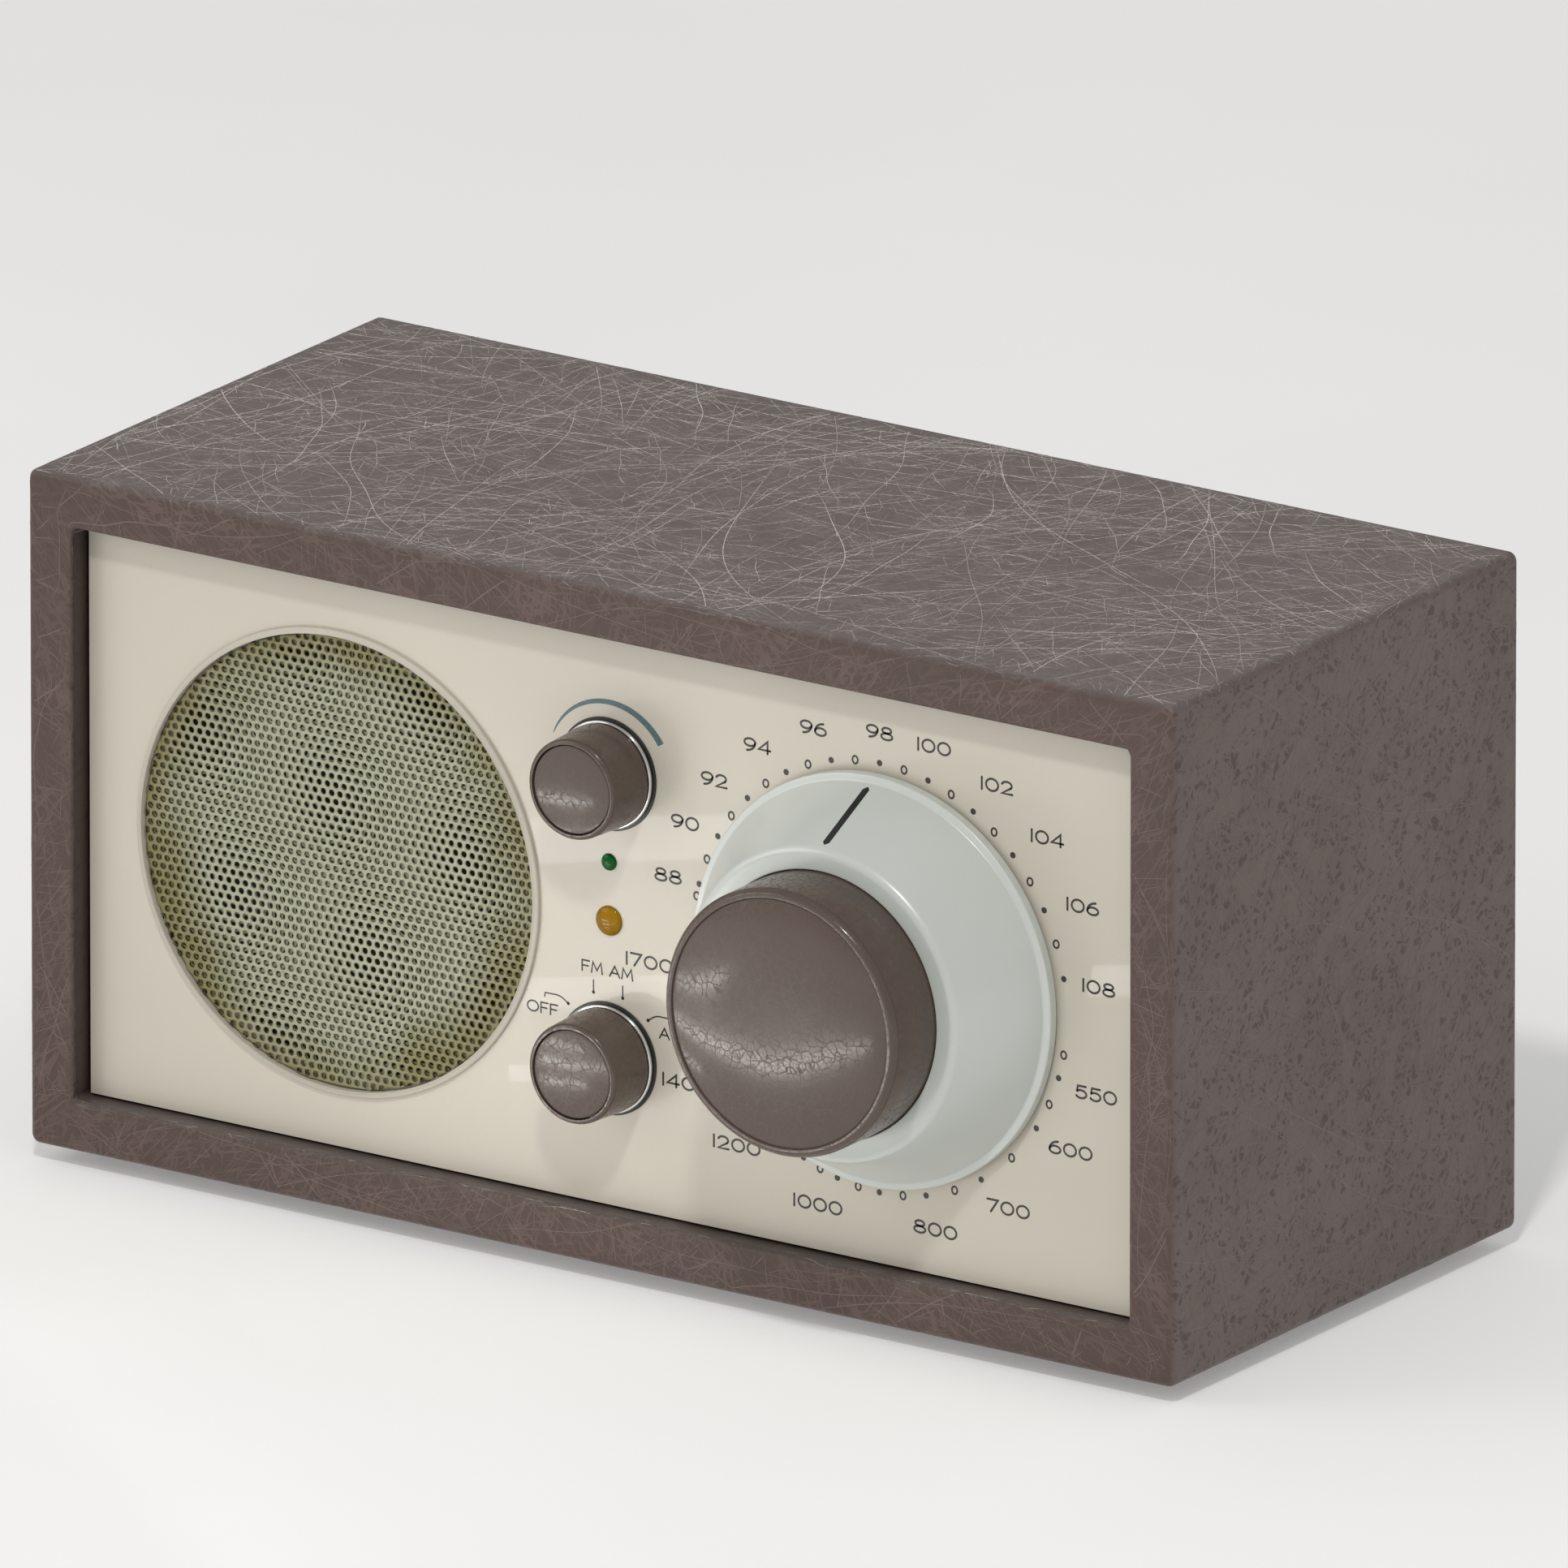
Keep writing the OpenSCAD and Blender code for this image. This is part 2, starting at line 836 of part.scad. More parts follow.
module drive_housing() {
    color("silver")
        difference() {
            union() {
                disc(dial_at, race_r + housing_wall, housing_back - housing_end_t, -panel_t);
                disc(dial_at, housing_flange_r, -panel_t - housing_flange_t, -panel_t);
            }
            disc(dial_at, race_r, housing_back, over - panel_t);
            disc(dial_at, shaft_r + running_fit, housing_back - housing_end_t - over, housing_back + over);
        }
}

module tuning_spindle() {
    color("gainsboro") {
        disc(dial_at, sun_r, spindle_back, tuning_knob_back);
        on_axis(dial_at, tuning_knob_back)
            linear_extrude(spindle_front - tuning_knob_back)
                flatted(sun_r);
    }
}

module tuning_knob() {
    rim = tuning_knob_out - tuning_knob_dome;
    ball = (tuning_knob_r * tuning_knob_r + tuning_knob_dome * tuning_knob_dome) / (2 * tuning_knob_dome);
    color([0.42, 0.37, 0.34])
        difference() {
            intersection() {
                turned(dial_at, [
                    [0, tuning_knob_back],
                    [tuning_knob_r, tuning_knob_back],
                    [tuning_knob_r, rim - 0.4],
                    [tuning_knob_r - tuning_knob_bevel, tuning_knob_out],
                    [0, tuning_knob_out]]);
                on_axis(dial_at, tuning_knob_out - ball)
                    sphere(ball, $fn = 256);
            }
            difference() {
                disc(dial_at, tuning_knob_r - tuning_knob_wall, tuning_knob_back - over, tuning_knob_out - 5);
                disc(dial_at, tuning_knob_hub_r, tuning_knob_back - over, tuning_knob_out);
            }
            on_axis(dial_at, tuning_knob_back)
                linear_extrude(spindle_front - tuning_knob_back)
                    flatted(sun_r);
        }
}

// Centre of drive ball k in the plane across the spindle
function ball_centre(k) = ball_circle_r * [cos(90 + 120 * k), sin(90 + 120 * k)];

module ball_carrier() {
    bore_r = sun_r + running_fit;
    color("goldenrod")
        difference() {
            union() {
                disc(dial_at, carrier_r, ball_plane, dial_floor);
                disc(dial_at, cage_r, ball_plane - cage_t / 2, ball_plane + cage_t / 2);
                disc(dial_at, boss_r, boss_back, ball_plane);
            }
            disc(dial_at, bore_r, spindle_back - rotor_back_gap, dial_floor + over);
            disc(dial_at, shaft_r, boss_back - over, spindle_back - 2 * rotor_back_gap);
            for (k = [0 : ball_count - 1])
                on_axis(dial_at, ball_plane)
                    translate(ball_centre(k))
                        sphere(ball_r + ball_fit);
        }
}

module tuning_dial() {
    color([0.78, 0.81, 0.8])
        difference() {
            turned(dial_at, [
                [carrier_r, dial_floor],
                [dial_bowl_r, dial_floor],
                [dial_bowl_r, dial_out - 0.3],
                [dial_bowl_r + 0.3, dial_out],
                [dial_ridge_r, dial_out],
                [dial_ridge_r + 0.3, dial_out - 0.2],
                [dial_foot_r, dial_edge + 0.2],
                [dial_r - 0.3, dial_edge],
                [dial_r, dial_edge - 0.3],
                [dial_r, dial_back],
                [dial_r - 2.3, dial_back],
                [dial_r - 2.3, dial_back + 1],
                [dial_bowl_r + 0.8, dial_floor - dial_wall],
                [dial_hub_r, dial_floor - dial_wall],
                [dial_hub_r, dial_hub_back],
                [carrier_r, dial_hub_back]]);
            pointer_bar(over);
        }
}

// The pointer bar, let into the dial's cone and standing this far proud of it
module pointer_bar(proud) {
    slope = (dial_out - dial_edge - 0.4) / (dial_foot_r - dial_ridge_r - 0.3);
    function cone_at(r) = dial_edge + 0.2 + (dial_foot_r - r) * slope;
    on_axis(dial_at)
        translate([-pointer_w / 2, 0, 0])
            rotate([90, 0, 90])
                linear_extrude(pointer_w)
                    polygon([
                        [pointer_r0, cone_at(pointer_r0) + proud],
                        [pointer_r1, cone_at(pointer_r1) + proud],
                        [pointer_r1, cone_at(pointer_r1) - pointer_t],
                        [pointer_r0, cone_at(pointer_r0) - pointer_t]]);
}

module dial_pointer() {
    color([0.05, 0.05, 0.05])
        pointer_bar(pointer_proud);
}

module drive_ball(k) {
    color("gainsboro")
        on_axis(dial_at, ball_plane)
            translate(ball_centre(k))
                sphere(ball_r);
}

module drive_ball_1() {
    drive_ball(0);
}

module drive_ball_2() {
    drive_ball(1);
}

module drive_ball_3() {
    drive_ball(2);
}

// ---- tuning capacitor ----------------------------------------------------

// Distance of the front of rotor vane i from the panel
function vane_front(i) = capacitor_front - capacitor_plate_t - vane_pitch * (i + 0.8);

module tuning_capacitor() {
    stator_side = capacitor_side - 5;
    corner = capacitor_side / 2 - 2.5;
    color([0.65, 0.65, 0.6]) {
        for (d = [capacitor_front, capacitor_back + capacitor_plate_t])
            difference() {
                on_axis(dial_at, d - capacitor_plate_t)
                    translate([-capacitor_side / 2, -capacitor_side / 2, 0])
                        cube([capacitor_side, capacitor_side, capacitor_plate_t]);
                disc(dial_at, shaft_r + running_fit, d - capacitor_plate_t - over, d + over);
            }
        for (x = [-1, 1], z = [-1, 1])
            on_axis(dial_at, capacitor_back + capacitor_plate_t)
                translate([x * corner, z * corner, 0])
                    cylinder(r = stator_rod_r, h = capacitor_l);
        for (i = [0 : vane_count - 1])
            difference() {
                on_axis(dial_at, vane_front(i) - vane_pitch / 2 - vane_t)
                    translate([-stator_side / 2 - 1, -stator_side / 2 - 1, 0])
                        cube([stator_side + 2, stator_side / 2, vane_t]);
                disc(dial_at, shaft_r + 1.5, capacitor_back, capacitor_front);
            }
    }
}

module capacitor_rotor() {
    color([0.8, 0.8, 0.75]) {
        disc(dial_at, shaft_r, capacitor_back - 1, spindle_back - 2 * rotor_back_gap);
        for (i = [0 : vane_count])
            on_axis(dial_at, vane_front(i) - vane_t)
                intersection() {
                    cylinder(r = rotor_vane_r, h = vane_t);
                    translate([-shaft_r, -rotor_vane_r, 0])
                        cube([rotor_vane_r + shaft_r, 2 * rotor_vane_r, vane_t]);
                }
    }
}

// ---- electronics ---------------------------------------------------------

module main_board() {
    board_z = floor_z + board_post_h;
    color([0.1, 0.35, 0.15]) {
        translate([board_at[0], board_at[1], board_z])
            cube([board_w, board_d, board_t_pcb]);
        for (x = [board_post_r, board_w - board_post_r], y = [board_post_r, board_d - board_post_r])
            translate([board_at[0] + x, board_at[1] + y, floor_z])
                cylinder(r = board_post_r, h = board_post_h);
        for (i = [0 : 1])
            translate([board_at[0] + 14 + i * 15, board_at[1] + board_d - 9, board_z + board_t_pcb])
                cylinder(r = filter_r, h = filter_h);
        translate([board_at[0] + 70, board_at[1] + board_d - 12, board_z + board_t_pcb])
            cube(heat_sink);
        translate([board_at[0] + 44, board_at[1] + 12, board_z + board_t_pcb])
            cube([16, 8, 3]);
    }
}

module power_transformer() {
    color([0.25, 0.25, 0.27])
        translate([transformer_at[0], transformer_at[1], floor_z]) {
            translate([-core[0] / 2, -core[1] / 2, 0])
                cube(core);
            translate([-winding[0] / 2, -winding[1] / 2, (core[2] - winding[2]) / 2])
                cube(winding);
        }
}

module ferrite_rod() {
    color([0.2, 0.2, 0.22]) {
        translate([-rod_l / 2, rod_y, rod_z])
            rotate([0, 90, 0])
                cylinder(r = rod_r, h = rod_l);
        translate([-coil_wind_l / 2 - 20, rod_y, rod_z])
            rotate([0, 90, 0])
                cylinder(r = coil_wind_r, h = coil_wind_l);
        for (x = [-0.42, 0.42])
            translate([x * rod_l - rod_clip_t / 2, rod_y - rod_clip_w / 2, rod_z - rod_r - 1])
                cube([rod_clip_t, rod_clip_w, ceiling_z - rod_z + rod_r + 1]);
    }
}

module rear_board() {
    right = jack_at[0][0] + 8;
    left = antenna_at[0] - 8;
    color([0.1, 0.35, 0.15]) {
        translate([left, rear_board_y - rear_board_t, jack_at[0][1] - 7])
            cube([right - left, rear_board_t, antenna_at[1] - jack_at[0][1] + 14]);
        back_box(slot_at, slider_foot_w + switch_travel + 2, slider_foot_h,
            -back_t - rear_board_gap, -back_t - slider_foot_t - 2 * free_gap);
        back_box(button_at, 6, 6, -back_t - rear_board_gap,
            -back_t - button_foot_t - button_travel - 2 * free_gap);
    }
}

// ---- back ----------------------------------------------------------------

module back_screw_holes() {
    for (at = back_screw_at)
        from_back(at, back_screw_r, -back_screw_l, over);
}

module back_panel() {
    color([0.12, 0.12, 0.12])
        difference() {
            slab(back_inner_y, back_face_y)
                square([open_w - 2 * panel_gap, open_h - 2 * panel_gap], center = true);
            back_screw_holes();
            back_box(inlet_at, inlet_w + 2 * inlet_wall, inlet_h + 2 * inlet_wall, -back_t - over, over);
            from_back(dc_at, dc_r, -back_t - over, over);
            for (at = jack_at)
                from_back(at, jack_r, -back_t - over, over);
            from_back(antenna_at, antenna_r, -back_t - over, over);
            back_box([slot_at[0] + switch_travel / 2, slot_at[1]],
                slider_w + switch_travel + 2 * free_gap, slider_h + 2 * free_gap, -back_t - over, over);
            from_back(button_at, button_r + free_gap, -back_t - over, over);
        }
}

module back_screws() {
    color("silver")
        for (at = back_screw_at) {
            from_back(at, back_screw_r, -back_screw_l, 0);
            from_back(at, back_screw_head_r, 0, back_screw_head_t);
        }
}

module mains_inlet() {
    outer_w = inlet_w + 2 * inlet_wall;
    outer_h = inlet_h + 2 * inlet_wall;
    color([0.06, 0.06, 0.06]) {
        difference() {
            union() {
                back_box(inlet_at, outer_w, outer_h, -inlet_depth - inlet_wall, 0);
                back_box(inlet_at, outer_w + inlet_flange, outer_h + inlet_flange, 0, inlet_flange_t);
            }
            back_box(inlet_at, inlet_w, inlet_h, -inlet_depth, inlet_flange_t + over);
        }
        for (x = [-1, 1])
            from_back([inlet_at[0] + x * inlet_pin_x, inlet_at[1]], inlet_pin_r,
                -inlet_depth, inlet_pin_l - inlet_depth);
    }
}

module dc_jack() {
    color([0.06, 0.06, 0.06]) {
        difference() {
            union() {
                from_back(dc_at, dc_r, -dc_depth - 1.5, 0);
                from_back(dc_at, dc_r + 1, 0, 1);
            }
            from_back(dc_at, dc_hole_r, -dc_depth, 1 + over);
        }
        from_back(dc_at, dc_pin_r, -dc_depth, -1.5);
    }
}

module audio_jacks() {
    color([0.06, 0.06, 0.06])
        for (at = jack_at)
            difference() {
                union() {
                    from_back(at, jack_r, -back_t - rear_board_gap, 0);
                    from_back(at, jack_flange_r, 0, jack_flange_t);
                }
                from_back(at, jack_hole_r, -jack_depth, jack_flange_t + over);
            }
}

module antenna_socket() {
    color("silver")
        difference() {
            union() {
                from_back(antenna_at, antenna_r, -antenna_depth, antenna_out);
                from_back(antenna_at, antenna_r + 1.4, 0, 1);
            }
            from_back(antenna_at, antenna_r - 1, antenna_out - 3, antenna_out + over);
            from_back(antenna_at, 0.6, -antenna_depth + 2, antenna_out);
        }
}

module antenna_switch() {
    foot = -back_t - free_gap;
    color([0.05, 0.05, 0.05]) {
        back_box(slot_at, slider_w, slider_h, foot, slider_out);
        back_box(slot_at, slider_foot_w, slider_foot_h, foot - slider_foot_t, foot);
    }
}

module pairing_button() {
    foot = -back_t - free_gap;
    color([0.05, 0.05, 0.05]) {
        from_back(button_at, button_r, foot, button_out);
        from_back(button_at, button_foot_r, foot - button_foot_t, foot);
    }
}

top_board();
bottom_board();
left_board();
right_board();
leather_cover();
front_cleat();
rear_cleat();
front_panel();
grille();
grille_ring();
grille_backing();
speaker_gasket();
speaker_basket();
speaker_magnet();
speaker_pole();
speaker_surround();
speaker_spider();
speaker_cone();
dust_cap();
voice_coil();
speaker_screws();
bass_port();
feet();
foot_screws();
volume_control();
volume_shaft();
volume_knob();
volume_knob_cap();
volume_knob_ring();
selector_switch();
selector_shaft();
selector_knob();
selector_knob_cap();
selector_knob_ring();
shaft_nuts();
drive_housing();
tuning_spindle();
tuning_knob();
ball_carrier();
tuning_dial();
dial_pointer();
drive_ball_1();
drive_ball_2();
drive_ball_3();
tuning_capacitor();
capacitor_rotor();
power_lamp();
tuning_lamp();
main_board();
power_transformer();
rear_board();
ferrite_rod();
back_panel();
back_screws();
mains_inlet();
dc_jack();
audio_jacks();
antenna_socket();
antenna_switch();
pairing_button();
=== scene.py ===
"""Looks of a covered-case table radio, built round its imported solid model.

Every piece is placed from the solid model's own boxes, in metres: X runs to the
right seen from the front, Y to the back and Z up. Each sub-assembly is a class
whose fields are its sizes, and each finish is a class that makes one material.
"""

import logging
import math
from dataclasses import dataclass, field
from enum import Enum

import bpy
import numpy as np
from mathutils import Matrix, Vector


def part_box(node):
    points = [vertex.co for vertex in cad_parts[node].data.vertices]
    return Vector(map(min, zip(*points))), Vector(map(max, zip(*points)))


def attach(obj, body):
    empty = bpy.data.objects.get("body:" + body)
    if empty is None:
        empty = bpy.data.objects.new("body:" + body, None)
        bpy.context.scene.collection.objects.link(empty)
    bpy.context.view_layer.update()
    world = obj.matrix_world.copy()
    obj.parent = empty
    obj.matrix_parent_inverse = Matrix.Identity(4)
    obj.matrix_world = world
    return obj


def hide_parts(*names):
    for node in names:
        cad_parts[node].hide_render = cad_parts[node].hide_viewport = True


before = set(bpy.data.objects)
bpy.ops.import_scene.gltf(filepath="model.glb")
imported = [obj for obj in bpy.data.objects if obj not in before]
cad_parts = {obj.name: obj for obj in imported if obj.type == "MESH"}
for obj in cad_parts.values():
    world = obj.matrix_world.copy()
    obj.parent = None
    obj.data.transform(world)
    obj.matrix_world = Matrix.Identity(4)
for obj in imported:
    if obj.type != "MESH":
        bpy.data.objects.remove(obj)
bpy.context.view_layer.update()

MM = 0.001
LOG = logging.getLogger("radio")
Array = np.ndarray
Socket = bpy.types.NodeSocket
Point = tuple[float, float]
Colour = tuple[float, float, float]
Triple = tuple[float, float, float]
Part = tuple[Array, list[Array]]
Material = bpy.types.Material
Piece = bpy.types.Object


# ---------------------------------------------------------------- meshes ----

def make_piece(name: str, points: Array, faces: list[Array], sharp: float = 35.0) -> Piece:
    """Puts whole arrays of points and faces into a new mesh object.

    Args:
        name: the piece's name.
        points: an (n, 3) array in metres.
        faces: arrays of vertex numbers, (n, 3) for triangles or (n, 4) for quads.
        sharp: edges that turn more than this many degrees stay sharp.

    Returns:
        The new object, at the origin.
    """
    mesh = bpy.data.meshes.new(name)
    kept = [part for part in faces if len(part)]
    sizes = np.concatenate([np.full(len(part), part.shape[1]) for part in kept])
    loops = np.concatenate([part.ravel() for part in kept]).astype(np.int32)
    starts = np.concatenate([[0], np.cumsum(sizes)[:-1]]).astype(np.int32)
    mesh.vertices.add(len(points))
    mesh.vertices.foreach_set("co", np.asarray(points, np.float32).ravel())
    mesh.loops.add(len(loops))
    mesh.loops.foreach_set("vertex_index", loops)
    mesh.polygons.add(len(sizes))
    mesh.polygons.foreach_set("loop_start", starts)
    mesh.polygons.foreach_set("use_smooth", np.ones(len(sizes), bool))
    mesh.update(calc_edges=True)
    mesh.validate()
    mesh.set_sharp_from_angle(angle=math.radians(sharp))
    piece = bpy.data.objects.new(name, mesh)
    bpy.context.scene.collection.objects.link(piece)
    return piece


def grid_quads(rows: int, columns: int, close_rows: bool = False,
               close_columns: bool = False) -> Array:
    """Quads of a grid whose vertex number is row * columns + column.

    Args:
        rows: number of rows of vertices.
        columns: number of vertices in a row.
        close_rows: joins the last row to the first.
        close_columns: joins the last column to the first.

    Returns:
        An (n, 4) array of vertex numbers.
    """
    r = np.arange(rows if close_rows else rows - 1)
    c = np.arange(columns if close_columns else columns - 1)
    r0, c0 = (a.ravel() for a in np.meshgrid(r, c, indexing="ij"))
    r1, c1 = (r0 + 1) % rows, (c0 + 1) % columns
    return np.stack([r0 * columns + c0, r0 * columns + c1, r1 * columns + c1, r1 * columns + c0],
                    axis=1)


def join_parts(parts: list[Part]) -> Part:
    """Joins several (points, faces) pairs into one pair, renumbering the faces."""
    offsets = np.cumsum([0] + [len(points) for points, _ in parts])
    points = np.concatenate([points for points, _ in parts])
    faces = [part + offset for (_, group), offset in zip(parts, offsets) for part in group]
    return points, faces


def rounded_line(corners: list[Triple], steps: int = 5) -> Array:
    """A polyline whose corners are rounded by quarter-like arcs.

    A corner (u, v, radius) is replaced by the quadratic curve that leaves the line
    one radius before the corner and meets the next one a radius after it.

    Args:
        corners: (u, v, radius) of each corner, the radius 0 for a sharp one.
        steps: points along each rounded corner.

    Returns:
        An (n, 2) array of points.
    """
    places = np.array([c[:2] for c in corners], float)
    out = []
    for i, (u, v, radius) in enumerate(corners):
        here = np.array([u, v])
        if radius <= 0 or i in (0, len(corners) - 1):
            out.append(here[None])
            continue
        before, after = places[i - 1] - here, places[i + 1] - here
        start = here + before / np.linalg.norm(before) * radius
        end = here + after / np.linalg.norm(after) * radius
        t = np.linspace(0, 1, steps + 1)[:, None]
        out.append((1 - t) ** 2 * start + 2 * t * (1 - t) * here + t ** 2 * end)
    return np.concatenate(out)


@dataclass(frozen=True)
class Axis:
    """A control axis that runs out of the front panel.

    A turned point (radius, angle, out) lies at x + radius sin(angle),
    y - out, z + radius cos(angle), so the angle runs clockwise from the top.
    """

    x: float
    y: float
    z: float

    def place(self, radius: Array | float, angle: Array | float, out: Array | float) -> Array:
        """Turned coordinates as points in metres, with the radius and distance in millimetres."""
        radius, angle, out = np.broadcast_arrays(radius, angle, out)
        return np.stack([self.x + radius * MM * np.sin(angle),
                         self.y - out * MM,
                         self.z + radius * MM * np.cos(angle)], axis=-1)

    def turned(self, profile: Array, segments: int = 96) -> Part:
        """A surface of revolution of a profile of (radius, out) points, in millimetres.

        The profile runs so that the material is on its right-hand side when the
        radius grows to the right and the distance out grows upwards. A radius
        of zero at either end becomes one pole point.

        Args:
            profile: an (n, 2) array.
            segments: the number of columns round the axis.

        Returns:
            The points and the faces.
        """
        low, high = profile[0, 0] < 1e-6, profile[-1, 0] < 1e-6
        rings = profile[int(low):len(profile) - int(high)]
        angle = np.arange(segments) / segments * 2 * math.pi
        points = [self.place(rings[:, :1], angle[None], rings[:, 1:]).reshape(-1, 3)]
        faces = [grid_quads(len(rings), segments, close_columns=True)]
        count = len(points[0])
        here = np.arange(segments)
        after = (here + 1) % segments
        if low:
            points.append(self.place(0.0, 0.0, profile[0, 1])[None])
            faces.append(np.stack([np.full(segments, count), after, here], axis=1))
            count += 1
        if high:
            last = (len(rings) - 1) * segments
            points.append(self.place(0.0, 0.0, profile[-1, 1])[None])
            faces.append(np.stack([np.full(segments, count), last + here, last + after], axis=1))
        return np.concatenate(points), faces


def face_outwards(piece: Piece) -> Piece:
    """Turns a closed piece's faces outwards if the volume they enclose comes out negative."""
    mesh = piece.data
    mesh.calc_loop_triangles()
    corners = np.empty(len(mesh.loop_triangles) * 3, np.int32)
    mesh.loop_triangles.foreach_get("vertices", corners)
    places = np.empty(len(mesh.vertices) * 3, np.float32)
    mesh.vertices.foreach_get("co", places)
    a, b, c = places.reshape(-1, 3).astype(float)[corners.reshape(-1, 3)].transpose(1, 0, 2)
    if np.einsum("ij,ij->i", a, np.cross(b, c)).sum() < 0:
        mesh.flip_normals()
    return piece


def face_values(mesh: bpy.types.Mesh, name: str) -> Array:
    """Each face's "normal" or "center", as an (n, 3) array."""
    values = np.empty(len(mesh.polygons) * 3, np.float32)
    mesh.polygons.foreach_get(name, values)
    return values.reshape(-1, 3)


def set_uv(piece: Piece, per_vertex: Array) -> None:
    """Writes a UV map from one (u, v) pair for each vertex."""
    mesh = piece.data
    loops = np.empty(len(mesh.loops), np.int32)
    mesh.loops.foreach_get("vertex_index", loops)
    layer = mesh.uv_layers.new(name="UVMap")
    layer.uv.foreach_set("vector", per_vertex[loops].astype(np.float32).ravel())


def set_value(piece: Piece, name: str, per_vertex: Array) -> None:
    """Writes one named number for each vertex, for a material to read."""
    attribute = piece.data.attributes.new(name, "FLOAT", "POINT")
    attribute.data.foreach_set("value", per_vertex.astype(np.float32))


def install(piece: Piece, body: str, replaces: tuple[str, ...] = ()) -> Piece:
    """Makes a piece ride on a body and hides what it stands for.

    Args:
        piece: the new piece.
        body: the body that it moves with.
        replaces: solid-model nodes that it is shown in place of.

    Returns:
        The piece.
    """
    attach(piece, body)
    if replaces:
        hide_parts(*replaces)
    LOG.info("%s rides on %s, %d faces", piece.name, body, len(piece.data.polygons))
    return piece


def axis_of(node: str) -> Axis:
    """The control axis through the middle of a turned node, starting at the front panel's face."""
    low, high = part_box(node)
    return Axis((low.x + high.x) / 2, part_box("front_panel")[0].y, (low.z + high.z) / 2)


def radius_of(node: str) -> float:
    """Outer radius of a turned node, in millimetres."""
    low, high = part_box(node)
    return (high.x - low.x) / 2 / MM


def front_of(node: str) -> float:
    """Distance from the panel's face to the front of a node, in millimetres."""
    return (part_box("front_panel")[0].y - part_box(node)[0].y) / MM


def turned_sizes(node: str) -> tuple[Axis, float, float, float]:
    """A turned node's axis, and its radius, front and back in millimetres from the panel's face."""
    back = (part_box("front_panel")[0].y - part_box(node)[1].y) / MM
    return axis_of(node), radius_of(node), front_of(node), back


def turn_piece(name: str, axis: Axis, profile: Array, segments: int, body: str,
               material: Material, nodes: tuple[str, ...] = ()) -> None:
    """Turns a profile about an axis into a finished piece.

    Args:
        name: the piece's name.
        axis: the axis that it is turned about.
        profile: its (radius, out) points in millimetres.
        segments: the number of columns round the axis.
        body: the body that it moves with.
        material: its finish.
        nodes: solid-model nodes that it is shown in place of.
    """
    piece = face_outwards(make_piece(name, *axis.turned(profile, segments)))
    install(piece, body, nodes)
    piece.data.materials.append(material)


# -------------------------------------------------------------- finishes ----

def shaded(colour: Colour, factor: float) -> Colour:
    """A colour with each channel multiplied by a factor, and at most 1."""
    return tuple(min(1.0, channel * factor) for channel in colour)


